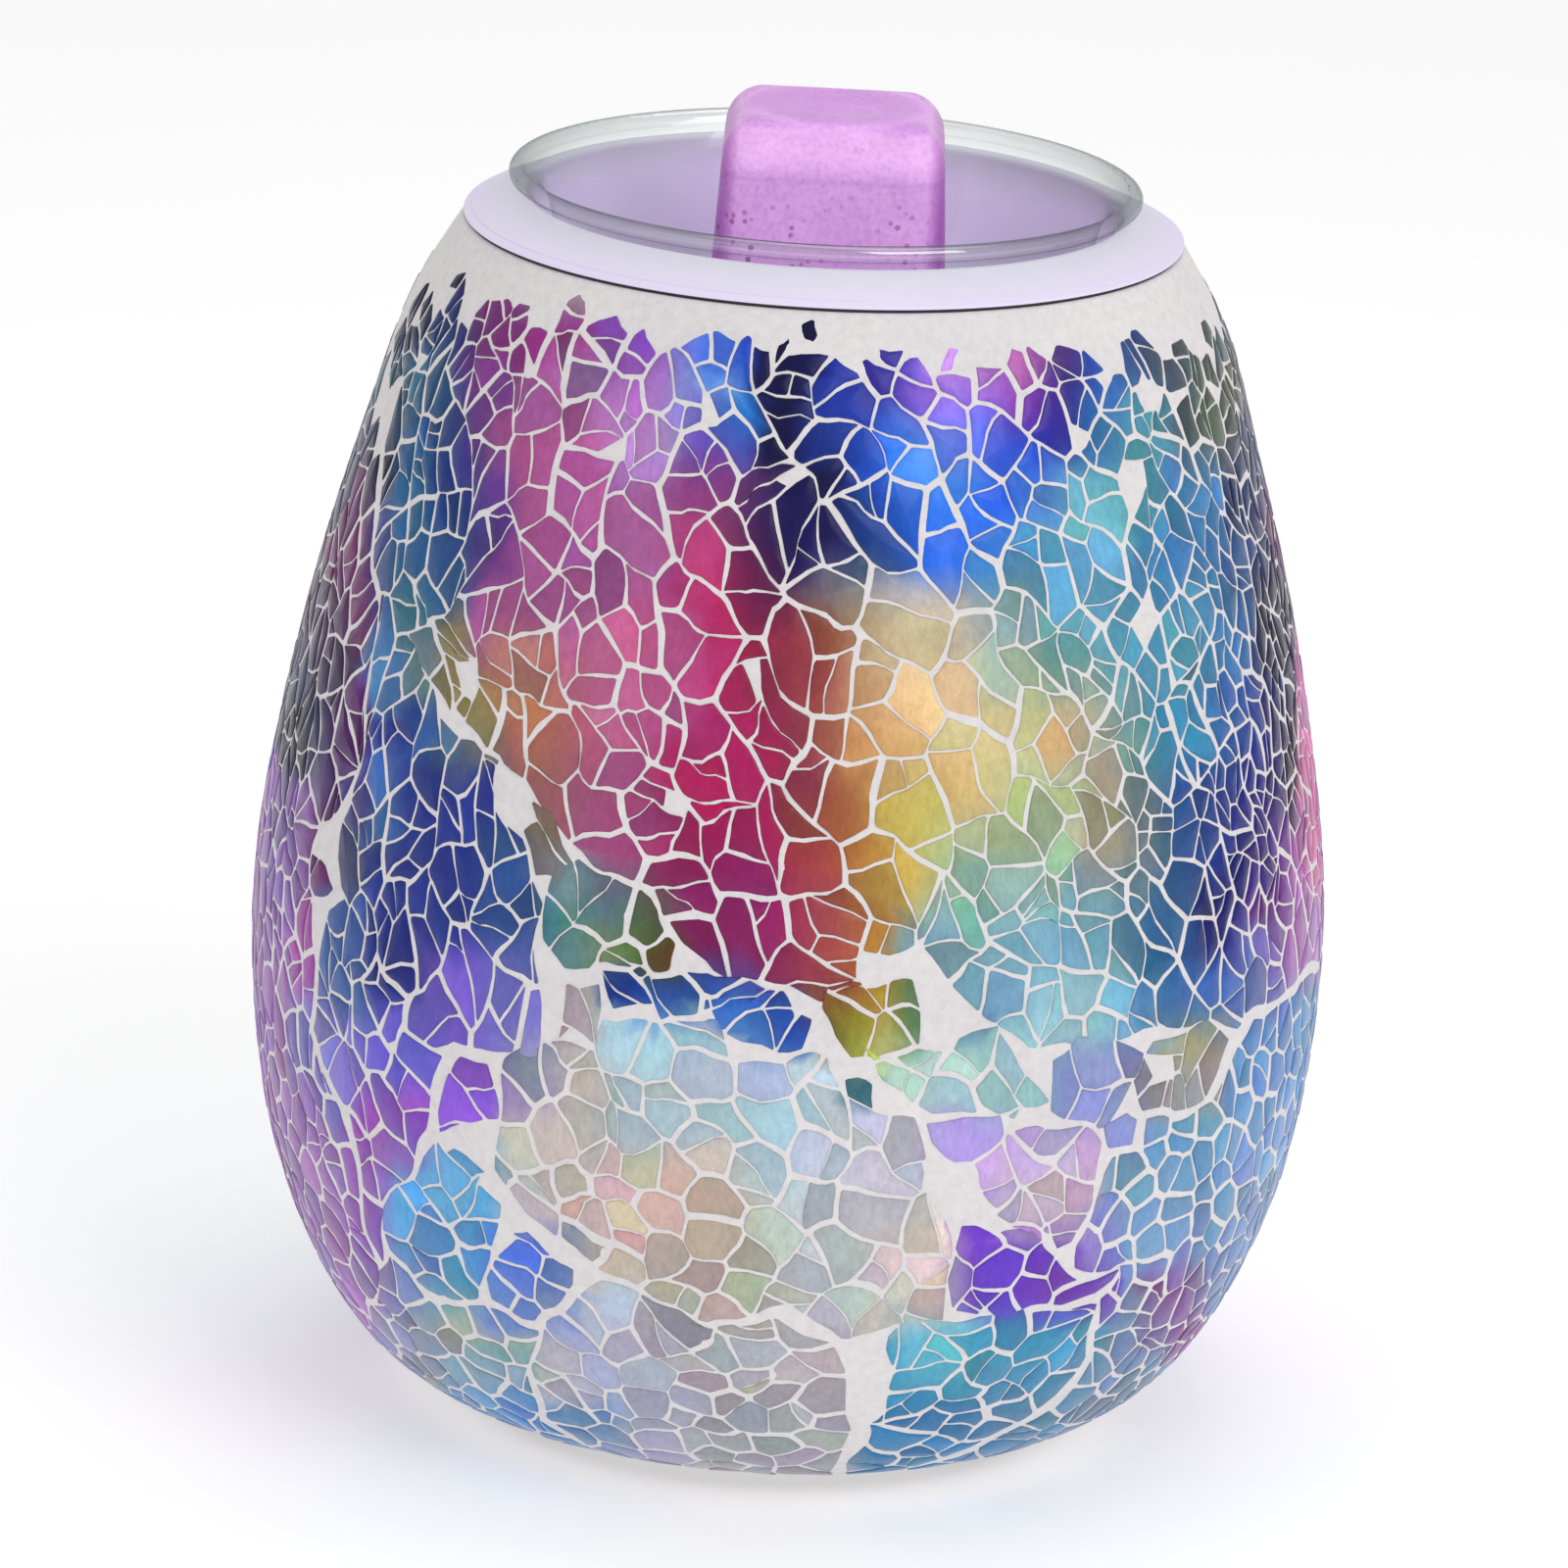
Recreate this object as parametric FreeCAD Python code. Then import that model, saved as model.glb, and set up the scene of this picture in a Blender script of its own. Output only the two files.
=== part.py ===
import FreeCAD, Part
import os
import math

# ---------------------------------------------------------------- dimensions
# Millimetres. +Z up, origin on the standing surface, on the pot's axis.
# +Y is the back of the pot, where the supply cord goes in.

FOOT_H = 1.5            # rubber feet
MOSAIC_Z0 = 2.5         # underside of the mosaic shell above the table
# outside profile of the mosaic shell: height above its bottom edge, radius
BODY_PROFILE = [
    (0.0, 39.30), (2.07, 45.04), (5.53, 49.56), (11.05, 53.70), (17.96, 57.20),
    (26.25, 60.17), (37.30, 62.43), (49.74, 63.50), (63.55, 63.17), (77.37, 61.19),
    (91.19, 58.41), (105.00, 54.95), (118.82, 50.90), (129.87, 47.16), (139.00, 41.70)]

TILE_T = 1.3            # crackled glass tiles
GROUT_T = 0.6           # plaster bed between tiles and vase
GLASS_T = 2.8           # blown vase wall
TILE_Z_LOW = 4.2        # lowest tile edge
TILE_Z_TOP = 136.4      # top of the tiled field, plain plaster above it
TILE_ROWS = 10
TILE_COLS = 22
TILE_GAP = 0.8          # grout line between tiles
VASE_FLOOR_Z = 4.5      # underside of the vase's flat foot
VASE_HOLE_R = 30.0      # opening in the vase's foot

COLLAR_OUT_R = 41.66    # plastic top ring, outer edge
COLLAR_OUT_Z = 142.31
COLLAR_IN_R = 34.96     # plastic top ring, edge of the well
COLLAR_IN_Z = 144.90
COLLAR_SEAT_Z = 141.90  # underside of the ring, on the gasket
WELL_FLOOR_Z = 123.5    # ledge that carries the heater plate
WELL_HOLE_R = 20.5
PLATE_R = 23.5          # heater plate
PLATE_T = 2.5

DISH_GAP = 0.2          # dish foot above the heater plate
DISH_T = 1.8
DISH_RIM_R = 36.63
DISH_RIM_Z = 147.70
DISH_BEAD_R = 0.95

CUBE_X = 0.7            # wax melt stands a little off the axis
CUBE_BASE = 28.0
CUBE_TOP = 25.0
CUBE_TOP_Z = 156.0
CUBE_EDGE_R = 4.6
CUBE_CORNER_R = 4.2

CORD_HOLE_Z = 24.0      # cord entry in the back of the vase
CORD_HOLE_R = 4.5
CORD_BORE_R = 3.2       # hole through the rubber bush
BUSH_FLANGE_R = 6.8
BUSH_FLANGE_T = 1.4

PAN_R = 36.3            # moulded base
PAN_TOP_Z = 3.6
DRUM_R = 23.5
DRUM_T = 2.0
DRUM_TOP_Z = 27.0
COVER_R = 22.5
COVER_T = 1.8

LEAD_D = 1.6            # heater lead over its insulation

V = FreeCAD.Vector
Z = V(0, 0, 1)
O = V(0, 0, 0)
os.makedirs("parts", exist_ok=True)


# ------------------------------------------------------------------- helpers
def p(r, z):
    return V(r, 0, z)


def line(a, b):
    return Part.makeLine(p(*a), p(*b))


def spline(pts):
    c = Part.BSplineCurve()
    c.interpolate([p(r, z) for r, z in pts])
    return c


def at_z(curve, z):
    lo, hi = curve.FirstParameter, curve.LastParameter
    for _ in range(60):
        mid = 0.5 * (lo + hi)
        if curve.value(mid).z < z:
            lo = mid
        else:
            hi = mid
    return 0.5 * (lo + hi)


def cut_curve(curve, z0, z1):
    c = curve.copy()
    c.segment(at_z(curve, z0), at_z(curve, z1))
    return c.toShape()


def turn(edges, angle=360.0):
    wire = Part.Wire(Part.__sortEdges__(edges))
    return Part.Face(wire).revolve(O, Z, angle)


def lathe(points, angle=360.0):
    pts = [p(r, z) for r, z in points]
    pts.append(pts[0])
    return Part.Face(Part.makePolygon(pts)).revolve(O, Z, angle)


def ring(r0, r1, z0, z1):
    s = Part.makeCylinder(r1, z1 - z0, V(0, 0, z0))
    if r0 > 0:
        s = s.cut(Part.makeCylinder(r0, z1 - z0 + 2, V(0, 0, z0 - 1)))
    return s


def post(x, y, r, z0, z1):
    return Part.makeCylinder(r, z1 - z0, V(x, y, z0))


def box(x0, x1, y0, y1, z0, z1):
    return Part.makeBox(x1 - x0, y1 - y0, z1 - z0, V(x0, y0, z0))


def polar(r, deg):
    a = math.radians(deg)
    return r * math.cos(a), r * math.sin(a)


def one(shape):
    s = shape.removeSplitter()
    return s.Solids[0] if len(s.Solids) == 1 else s


def save(name, shapes):
    items = shapes if isinstance(shapes, list) else [shapes]
    solids = []
    for s in items:
        solids.extend(s.Solids)
    for s in solids:
        if not s.isValid() or s.Volume <= 0:
            print("BAD SOLID", name, s.Volume)
    out = solids[0] if len(solids) == 1 else Part.makeCompound(solids)
    out.exportStep("parts/" + name + ".step")
    b = out.BoundBox
    print("%-16s %3d  z %.2f..%.2f  r<=%.2f  vol %.1f" % (
        name, len(solids), b.ZMin, b.ZMax, max(b.XMax, b.YMax), out.Volume))


# --------------------------------------------------- the shell's four surfaces
body_pts = [(r, MOSAIC_Z0 + h) for h, r in BODY_PROFILE]
MOUTH_Z = body_pts[-1][1]
surf_out = spline(body_pts)


def offset_curve(depth):
    """The body profile moved inwards by depth, run on past the mouth."""
    pts = []
    n = 46
    a, b = surf_out.FirstParameter, surf_out.LastParameter
    last = None
    for i in range(n + 1):
        t = a + (b - a) * (i / n)
        q = surf_out.value(t)
        d = surf_out.tangent(t)[0]
        q = q - V(d.z, 0, -d.x) * depth
        if last is None or q.z > last[1] + 0.6:
            pts.append((q.x, q.z))
            last = pts[-1]
    d = surf_out.tangent(b)[0]
    for k in (2.0, 4.0, 6.0):
        pts.append((last[0] + d.x * k, last[1] + d.z * k))
    return spline(pts)


surf_bed = offset_curve(TILE_T)
surf_glass = offset_curve(TILE_T + GROUT_T)
surf_in = offset_curve(TILE_T + GROUT_T + GLASS_T)


def rad(curve, z):
    return curve.value(at_z(curve, z)).x


cord_hole = Part.makeCylinder(CORD_HOLE_R, 30, V(0, 45, CORD_HOLE_Z), V(0, 1, 0))

# ------------------------------------------------------------------ glass_vase
zf, zi = VASE_FLOOR_Z, VASE_FLOOR_Z + GLASS_T
glass_edges = [
    cut_curve(surf_glass, zf, MOUTH_Z),
    line((rad(surf_glass, MOUTH_Z), MOUTH_Z), (rad(surf_in, MOUTH_Z), MOUTH_Z)),
    cut_curve(surf_in, zi, MOUTH_Z),
    line((rad(surf_in, zi), zi), (VASE_HOLE_R, zi)),
    line((VASE_HOLE_R, zi), (VASE_HOLE_R, zf)),
    line((VASE_HOLE_R, zf), (rad(surf_glass, zf), zf))]
glass_vase = turn(glass_edges).cut(cord_hole)
save("glass_vase", glass_vase)
MOUTH_IN_R = rad(surf_in, MOUTH_Z)

# ----------------------------------------------------------------- grout_layer
# plaster bed behind the tiles, a lip under the lowest row and the plain band
# round the mouth
band_r0 = rad(surf_out, TILE_Z_TOP)
lip_in = rad(surf_glass, zf)
grout_edges = [
    cut_curve(surf_out, MOSAIC_Z0 + 0.001, TILE_Z_LOW),
    line((rad(surf_out, TILE_Z_LOW), TILE_Z_LOW), (rad(surf_bed, TILE_Z_LOW), TILE_Z_LOW)),
    cut_curve(surf_bed, TILE_Z_LOW, TILE_Z_TOP),
    line((rad(surf_bed, TILE_Z_TOP), TILE_Z_TOP), (band_r0, TILE_Z_TOP)),
    cut_curve(surf_out, TILE_Z_TOP, MOUTH_Z - 0.001),
    line((rad(surf_out, MOUTH_Z - 0.001), MOUTH_Z - 0.001),
         (rad(surf_glass, MOUTH_Z - 0.001), MOUTH_Z - 0.001)),
    cut_curve(surf_glass, zf, MOUTH_Z - 0.001),
    line((lip_in, zf), (37.3, zf)),
    line((37.3, zf), (37.3, MOSAIC_Z0 + 0.001)),
    line((37.3, MOSAIC_Z0 + 0.001), (rad(surf_out, MOSAIC_Z0 + 0.001), MOSAIC_Z0 + 0.001))]
grout_layer = turn(grout_edges).cut(cord_hole)
save("grout_layer", grout_layer)

# ---------------------------------------------------------------- mosaic_tiles
# crackled glass pieces in staggered courses, each one its own solid
tiles = []
z_edges = []
for i in range(TILE_ROWS + 1):
    t = i / TILE_ROWS
    z_edges.append(TILE_Z_LOW + (TILE_Z_TOP - TILE_Z_LOW) * (0.25 * t * t + 0.75 * t))
bush_clear = Part.makeCylinder(CORD_HOLE_R, 30, V(0, 45, CORD_HOLE_Z), V(0, 1, 0))
for i in range(TILE_ROWS):
    z0 = z_edges[i] + (TILE_GAP / 2 if i else 0.0)
    z1 = z_edges[i + 1] - (TILE_GAP / 2 if i < TILE_ROWS - 1 else 0.0)
    edges = [
        cut_curve(surf_out, z0, z1),
        line((rad(surf_out, z1), z1), (rad(surf_bed, z1), z1)),
        cut_curve(surf_bed, z0, z1),
        line((rad(surf_bed, z0), z0), (rad(surf_out, z0), z0))]
    r_mid = rad(surf_out, 0.5 * (z0 + z1))
    step = 360.0 / TILE_COLS
    gap = math.degrees(TILE_GAP / r_mid)
    blank = turn(edges, step - gap)
    for j in range(TILE_COLS):
        a = step * (j + 0.5 * (i % 2)) + gap / 2
        t = blank.copy()
        t.rotate(O, Z, a)
        mid = (a + 0.5 * (step - gap)) % 360.0
        if abs(mid - 90.0) < 25 and z0 < CORD_HOLE_Z + 8 and z1 > CORD_HOLE_Z - 8:
            t = t.cut(bush_clear)
        tiles.append(t)
save("mosaic_tiles", tiles)

# ------------------------------------------------------------------ cable_bush
# rubber bush gripping the edge of the cord hole, flanges shaped to the wall
surf_far = spline([(r + 8.0, z) for r, z in body_pts])


def wall_slice(c0, c1, z0, z1, radius):
    e = [cut_curve(c0, z0, z1), cut_curve(c1, z0, z1),
         line((rad(c0, z0), z0), (rad(c1, z0), z0)),
         line((rad(c0, z1), z1), (rad(c1, z1), z1))]
    s = turn(e, 40.0)
    s.rotate(O, Z, 70.0)
    return s.common(Part.makeCylinder(radius, 40, V(0, 40, CORD_HOLE_Z), V(0, 1, 0)))


surf_bush_out = offset_curve(-BUSH_FLANGE_T)
surf_bush_in = offset_curve(TILE_T + GROUT_T + GLASS_T + BUSH_FLANGE_T)
zb0, zb1 = CORD_HOLE_Z - 9, CORD_HOLE_Z + 9
bush = wall_slice(surf_bush_in, surf_bush_out, zb0, zb1, CORD_HOLE_R - 0.02)
bush = bush.fuse(wall_slice(surf_out, surf_bush_out, zb0, zb1, BUSH_FLANGE_R))
bush = bush.fuse(wall_slice(surf_bush_in, surf_in, zb0, zb1, BUSH_FLANGE_R))
bush = bush.cut(Part.makeCylinder(CORD_BORE_R, 40, V(0, 40, CORD_HOLE_Z), V(0, 1, 0)))
save("cable_bush", one(bush))
print("mouth inner r", MOUTH_IN_R)
print("cord hole wall y", rad(surf_bush_in, CORD_HOLE_Z), rad(surf_bush_out, CORD_HOLE_Z))

# ------------------------------------------------------------------ top_collar
# white ring over the mouth with the well that the dish stands in
well = [(34.10, 141.6), (33.0, 137.5), (31.6, 133.0), (29.9, 129.0), (28.4, 126.2), (27.2, 124.2)]
c_top = spline([(COLLAR_IN_R - 0.55, COLLAR_IN_Z - 0.75), (COLLAR_IN_R - 0.22, COLLAR_IN_Z - 0.12),
                (COLLAR_IN_R + 0.35, COLLAR_IN_Z + 0.0), (COLLAR_IN_R + 1.2, COLLAR_IN_Z - 0.28)])
c_out = spline([(COLLAR_OUT_R - 0.9, COLLAR_OUT_Z + 0.36), (COLLAR_OUT_R - 0.22, COLLAR_OUT_Z - 0.02),
                (COLLAR_OUT_R, COLLAR_OUT_Z - 0.2), (COLLAR_OUT_R - 0.06, COLLAR_SEAT_Z)])
wall_in = spline([(COLLAR_IN_R - 0.55, COLLAR_IN_Z - 0.75)] + well + [(26.6, WELL_FLOOR_Z)])
wall_back = spline([(35.25, COLLAR_SEAT_Z), (34.75, 138.0), (33.6, 133.2), (31.8, 128.6),
                    (29.9, 124.6), (28.6, WELL_FLOOR_Z - 2.0)])
collar_edges = [
    c_top.toShape(),
    line((COLLAR_IN_R + 1.2, COLLAR_IN_Z - 0.28), (COLLAR_OUT_R - 0.9, COLLAR_OUT_Z + 0.36)),
    c_out.toShape(),
    line((COLLAR_OUT_R - 0.06, COLLAR_SEAT_Z), (35.25, COLLAR_SEAT_Z)),
    wall_back.toShape(),
    line((28.6, WELL_FLOOR_Z - 2.0), (WELL_HOLE_R, WELL_FLOOR_Z - 2.0)),
    line((WELL_HOLE_R, WELL_FLOOR_Z - 2.0), (WELL_HOLE_R, WELL_FLOOR_Z)),
    line((WELL_HOLE_R, WELL_FLOOR_Z), (26.6, WELL_FLOOR_Z)),
    wall_in.toShape()]
collar = turn(collar_edges)
for y in (-24.2, 24.2):
    collar = collar.fuse(post(0, y, 3.0, 120.5, WELL_FLOOR_Z - 1.0))
for y in (-24.2, 24.2):
    collar = collar.cut(post(0, y, 1.25, 119.0, 123.0))
save("top_collar", one(collar))

# --------------------------------------------------- gasket and bond under it
save("collar_gasket", ring(37.4, 41.3, MOUTH_Z, COLLAR_SEAT_Z))
bond = lathe([(34.6, 140.55)] + [(rad(surf_in, z) - 0.04, z) for z in (140.55, 139.0, 137.5, 136.2)] +
             [(34.6, 137.4)])
save("bond_ring", bond.cut(collar))

# ---------------------------------------------------------------------- heater
plate_z = WELL_FLOOR_Z + PLATE_T
plate = lathe([(0, WELL_FLOOR_Z), (PLATE_R, WELL_FLOOR_Z), (PLATE_R, plate_z - 0.4),
               (PLATE_R - 0.4, plate_z), (0, plate_z)])
save("heater_plate", plate)
save("ptc_element", box(-12, 12, -7.5, 7.5, 121.0, WELL_FLOOR_Z))
save("mica_sheet", box(-6.5, 6.5, -9, 9, 120.5, 121.0))
bracket = box(-6.5, 6.5, -27.4, 27.4, 119.3, 120.5)
for y in (-24.2, 24.2):
    bracket = bracket.cut(post(0, y, 1.45, 118, 122))
save("clamp_bracket", bracket)


def screw(x, y, z_head, up, r, length, head_r, head_h):
    """Pan head screw; z_head is the seat, the shank runs up or down from it."""
    d = V(0, 0, 1 if up else -1)
    s = Part.makeCylinder(r, length, V(x, y, z_head), d)
    h = Part.makeCylinder(head_r, head_h, V(x, y, z_head), d * -1)
    h = h.fuse(s)
    top = V(x, y, z_head) - d * head_h
    for ang in (0, 90):
        slot = Part.makeBox(head_r * 1.3, 0.5, 0.7)
        slot.translate(V(-head_r * 0.65, -0.25, -0.35))
        slot.rotate(O, Z, ang)
        slot.translate(top)
        h = h.cut(slot)
    return one(h)


save("bracket_screws", [screw(0, y, 119.3, True, 1.2, 3.5, 2.5, 1.6) for y in (-24.2, 24.2)])

fx, fz = 3.0, 117.3
fuse = Part.makeCylinder(2.0, 10, V(fx, -5, fz), V(0, 1, 0))
fuse = fuse.fuse(Part.makeCylinder(0.5, 17, V(fx, -8.5, fz), V(0, 1, 0)))
save("thermal_fuse", one(fuse))
clip = Part.makeCylinder(2.5, 4, V(fx, -2, fz), V(0, 1, 0)).common(box(fx - 3, fx + 3, -3, 3, fz - 3, fz))
clip = clip.fuse(box(fx - 2.5, fx + 2.5, -2, 2, fz, 119.3))
clip = clip.cut(Part.makeCylinder(2.02, 6, V(fx, -3, fz), V(0, 1, 0)))
clip = clip.cut(box(fx - 2.02, fx + 2.02, -3, 3, fz, 119.4))
clip = clip.fuse(box(fx - 5.2, fx - 2.4, -2, 2, 118.8, 119.3))
clip = clip.fuse(box(fx + 2.4, fx + 3.5, -2, 2, 118.8, 119.3))
save("fuse_clip", one(clip))


def tube(points, dia):
    """A lead: straight runs joined by tangent arcs."""
    pts = [V(*q) for q in points]
    runs = [(pts[i + 1] - pts[i]).Length for i in range(len(pts) - 1)]
    edges, here, total, radii = [], pts[0], 0.0, []
    for i in range(1, len(pts) - 1):
        a = (pts[i - 1] - pts[i]).normalize()
        b = (pts[i + 1] - pts[i]).normalize()
        half = 0.5 * (math.pi - a.getAngle(b))
        r = 0.45 * min(runs[i - 1], runs[i]) / math.tan(half)
        radii.append(round(r, 1))
        t = r * math.tan(half)
        s, e = pts[i] + a * t, pts[i] + b * t
        mid_dir = (a + b).normalize()
        m = pts[i] + mid_dir * (r / math.cos(half) - r)
        edges.append(Part.LineSegment(here, s).toShape())
        edges.append(Part.Arc(s, m, e).toShape())
        total += (s - here).Length + 2 * half * r
        here = e
    edges.append(Part.LineSegment(here, pts[-1]).toShape())
    total += (pts[-1] - here).Length
    spine = Part.Wire(edges)
    d = (pts[1] - pts[0]).normalize()
    prof = Part.Wire(Part.makeCircle(dia / 2, pts[0], d))
    solid = spine.makePipeShell([prof], True, False)
    area = math.pi * dia * dia / 4
    print("lead length %.1f volume ratio %.4f radii %s" % (total, solid.Volume / (area * total), radii))
    return solid


leads = []
for y in (-3.2, 3.2):
    leads.append(tube([(-10, y, 121.0), (-10, y, 108), (-24, y * 1.5, 93), (-31, y * 1.7, 72),
                       (-33, y * 1.4, 50), (-30, y * 1.1, 31), (-22.5, y, 17.5), (-12.25, y, 14.6)], LEAD_D))
save("heater_leads", leads)

# -------------------------------------------------------------------- base_pan
# moulded base: flange under the vase and an upturned drum inside it
pan = lathe([(21.5, FOOT_H), (PAN_R - 0.5, FOOT_H), (PAN_R, FOOT_H + 0.5), (PAN_R, PAN_TOP_Z),
             (DRUM_R, PAN_TOP_Z), (DRUM_R, DRUM_TOP_Z - 1.0), (DRUM_R - 1.0, DRUM_TOP_Z),
             (0, DRUM_TOP_Z), (0, DRUM_TOP_Z - DRUM_T), (DRUM_R - DRUM_T, DRUM_TOP_Z - DRUM_T),
             (DRUM_R - DRUM_T, FOOT_H)])
for a in (30, 150, 270):
    x, y = polar(18.2, a)
    pan = pan.fuse(post(x, y, 3.0, FOOT_H + COVER_T, 14.0))
    wx, wy = polar(20.5, a)
    rib = box(-2.2, 2.2, -2.4, 2.4, FOOT_H + COVER_T, 14.0)
    rib.rotate(O, Z, a)
    rib.translate(V(wx, wy, 0))
    pan = pan.fuse(rib.common(ring(0, DRUM_R - 0.5, 0, 20)))
pan = pan.cut(ring(0, COVER_R + 0.1, FOOT_H - 1, FOOT_H + COVER_T))
for a in (30, 150, 270):
    x, y = polar(18.2, a)
    pan = pan.cut(post(x, y, 1.25, 0, 11.0))
for a in (90, 210, 330):
    x, y = polar(27.3, a)
    pan = pan.cut(post(x, y, 1.7, 0, 5)).cut(post(x, y, 3.0, 0, 2.4))
pan = pan.cut(Part.makeCylinder(6.4, 10, V(-17.5, 0, 17.4), V(-1, 0, 0)))
pan = pan.cut(Part.makeCylinder(3.6, 10, V(0, 17.5, 16.0), V(0, 1, 0)))
pan = pan.cut(post(0, 0, 2.5, 24, 28))
for x in (-12, 12):
    pan = pan.cut(post(x, 0, 1.05, 24, 28))
save("base_pan", one(pan))

save("rubber_feet", [post(*polar(31.0, a), 4.2, 0.0, FOOT_H) for a in (45, 135, 225, 315)])
save("base_washer", ring(31.0, 36.2, PAN_TOP_Z, VASE_FLOOR_Z))

cr_z = VASE_FLOOR_Z + GLASS_T
clamp = ring(DRUM_R + 0.4, 34.5, cr_z, cr_z + 1.2)
for a in (90, 210, 330):
    x, y = polar(27.3, a)
    clamp = clamp.cut(post(x, y, 1.7, cr_z - 1, cr_z + 3))
save("clamp_ring", clamp)
screws, nuts = [], []
for a in (90, 210, 330):
    x, y = polar(27.3, a)
    screws.append(screw(x, y, 2.4, True, 1.5, 9.6, 2.7, 0.85))
    hexa = Part.makePolygon([V(x + 3.1 * math.cos(math.radians(60 * k)),
                               y + 3.1 * math.sin(math.radians(60 * k)), cr_z + 1.2) for k in range(7)])
    nut = Part.Face(hexa).extrude(V(0, 0, 2.4)).cut(post(x, y, 1.52, cr_z, cr_z + 6))
    nuts.append(nut)
save("clamp_screws", screws)
save("clamp_nuts", nuts)

# ---------------------------------------------------------- bottom_cover, board
cov_top = FOOT_H + COVER_T
cover = ring(0, COVER_R, FOOT_H, cov_top)
for x in (-9.5, 9.5):
    cover = cover.fuse(post(x, 0, 2.2, cov_top - 0.5, 8.0))
for x in (-9.5, 9.5):
    cover = cover.cut(post(x, 0, 1.05, 3.6, 9))
for a in (30, 150, 270):
    x, y = polar(18.2, a)
    cover = cover.cut(post(x, y, 1.6, 0, 5)).cut(post(x, y, 2.7, 0, 2.3))
save("bottom_cover", one(cover))
save("cover_screws", [screw(*polar(18.2, a), 2.3, True, 1.2, 7.5, 2.5, 0.75) for a in (30, 150, 270)])

board = box(-12, 12, -9, 9, 8.0, 9.6)
for x in (-9.5, 9.5):
    board = board.cut(post(x, 0, 1.2, 7, 11))
save("driver_board", board)
save("board_screws", [screw(x, 0, 9.6, False, 1.0, 4.5, 1.9, 1.1) for x in (-9.5, 9.5)])
core = box(-6.2, 3.2, -8.4, -2.2, 9.6, 19.5).fuse(box(-4.6, 1.6, -7.6, -3.0, 19.5, 21.0))
save("transformer", one(core))
save("capacitor", post(4.6, 4.2, 3.9, 9.6, 21.5))
term = box(-12.0, -5.0, 2.0, 8.0, 9.6, 17.0).fuse(box(-12.0, -7.6, -8.4, 8.0, 12.6, 17.0))
save("terminal_block", one(term))

# ------------------------------------------------------------------- lamp unit
led_z = DRUM_TOP_Z
led = ring(2.0, 16.0, led_z, led_z + 1.4)
for x in (-12, 12):
    led = led.cut(post(x, 0, 1.2, led_z - 1, led_z + 3))
save("led_board", led)
emit = []
for k in range(6):
    x, y = polar(9.0, 30 + 60 * k)
    emit.append(box(x - 1.75, x + 1.75, y - 1.75, y + 1.75, led_z + 1.4, led_z + 2.6))
save("led_emitters", emit)
save("led_screws", [screw(x, 0, led_z + 1.4, False, 1.0, 3.6, 1.9, 1.1) for x in (-12, 12)])
dome_out = spline([(21.2, led_z), (21.2, led_z + 4), (20.2, led_z + 10), (16.6, led_z + 16.4),
                   (10.0, led_z + 20.4), (0.0, led_z + 21.8)])
dome_in = spline([(19.9, led_z), (19.9, led_z + 4), (18.9, led_z + 9.6), (15.6, led_z + 15.4),
                  (9.5, led_z + 19.1), (0.0, led_z + 20.5)])
dome = turn([dome_out.toShape(), dome_in.toShape(),
             line((19.9, led_z), (21.2, led_z)),
             line((0, led_z + 20.5), (0, led_z + 21.8))])
save("light_diffuser", dome)

# -------------------------------------------------------------------- wax_dish
dz = plate_z + DISH_GAP
bc_r, bc_z = DISH_RIM_R - DISH_BEAD_R, DISH_RIM_Z - DISH_BEAD_R
mid_pts = [(23.4, dz + DISH_T / 2), (26.1, dz + 1.75), (28.15, dz + 4.4), (30.2, dz + 8.6),
           (31.55, dz + 12.6), (32.4, dz + 16.0), (33.1, dz + 18.25), (bc_r, bc_z)]
mid = spline(mid_pts)
N = 24
outer, inner = [], []
for i in range(N + 1):
    t = mid.FirstParameter + (mid.LastParameter - mid.FirstParameter) * i / N
    q, d = mid.value(t), mid.tangent(t)[0]
    w = DISH_T / 2 * (1.0 - 0.08 * i / N)
    outer.append((q.x + d.z * w, q.z - d.x * w))
    inner.append((q.x - d.z * w, q.z + d.x * w))
outer[0] = (23.4, dz)
inner[0] = (23.4, dz + DISH_T)
so, si = spline(outer), spline(inner)
dish_edges = [line((0, dz), (23.4, dz)), so.toShape(), line(outer[-1], inner[-1]),
              si.toShape(), line((23.4, dz + DISH_T), (0, dz + DISH_T)),
              line((0, dz), (0, dz + DISH_T))]
section = Part.Face(Part.Wire(Part.__sortEdges__(dish_edges)))
bead = Part.Face(Part.Wire(Part.makeCircle(DISH_BEAD_R, V(bc_r, 0, bc_z), V(0, -1, 0))))
section = section.fuse(bead).removeSplitter()
dish = section.revolve(O, Z, 360)
save("wax_dish", one(dish))

# -------------------------------------------------------------------- wax_cube
cz = dz + DISH_T + 0.1


def square(half, z):
    h = half
    return Part.makePolygon([V(CUBE_X - h, -h, z), V(CUBE_X + h, -h, z), V(CUBE_X + h, h, z),
                             V(CUBE_X - h, h, z), V(CUBE_X - h, -h, z)])


cube = Part.makeLoft([square(CUBE_BASE / 2, cz), square(CUBE_TOP / 2, CUBE_TOP_Z)], True, True)
up_edges = [e for e in cube.Edges if abs(e.Vertexes[0].Z - e.Vertexes[1].Z) > 5]
cube = cube.makeFillet(CUBE_CORNER_R, up_edges)
top_edges = [e for e in cube.Edges if e.BoundBox.ZMin > CUBE_TOP_Z - 0.01]
cube = cube.makeFillet(CUBE_EDGE_R - 0.6, top_edges)
low_edges = [e for e in cube.Edges if e.BoundBox.ZMax < cz + 0.01]
cube = cube.makeFillet(0.6, low_edges)
save("wax_cube", one(cube))
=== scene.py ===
import bpy
import math
import random
import numpy as np
from mathutils import Matrix, Vector


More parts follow.
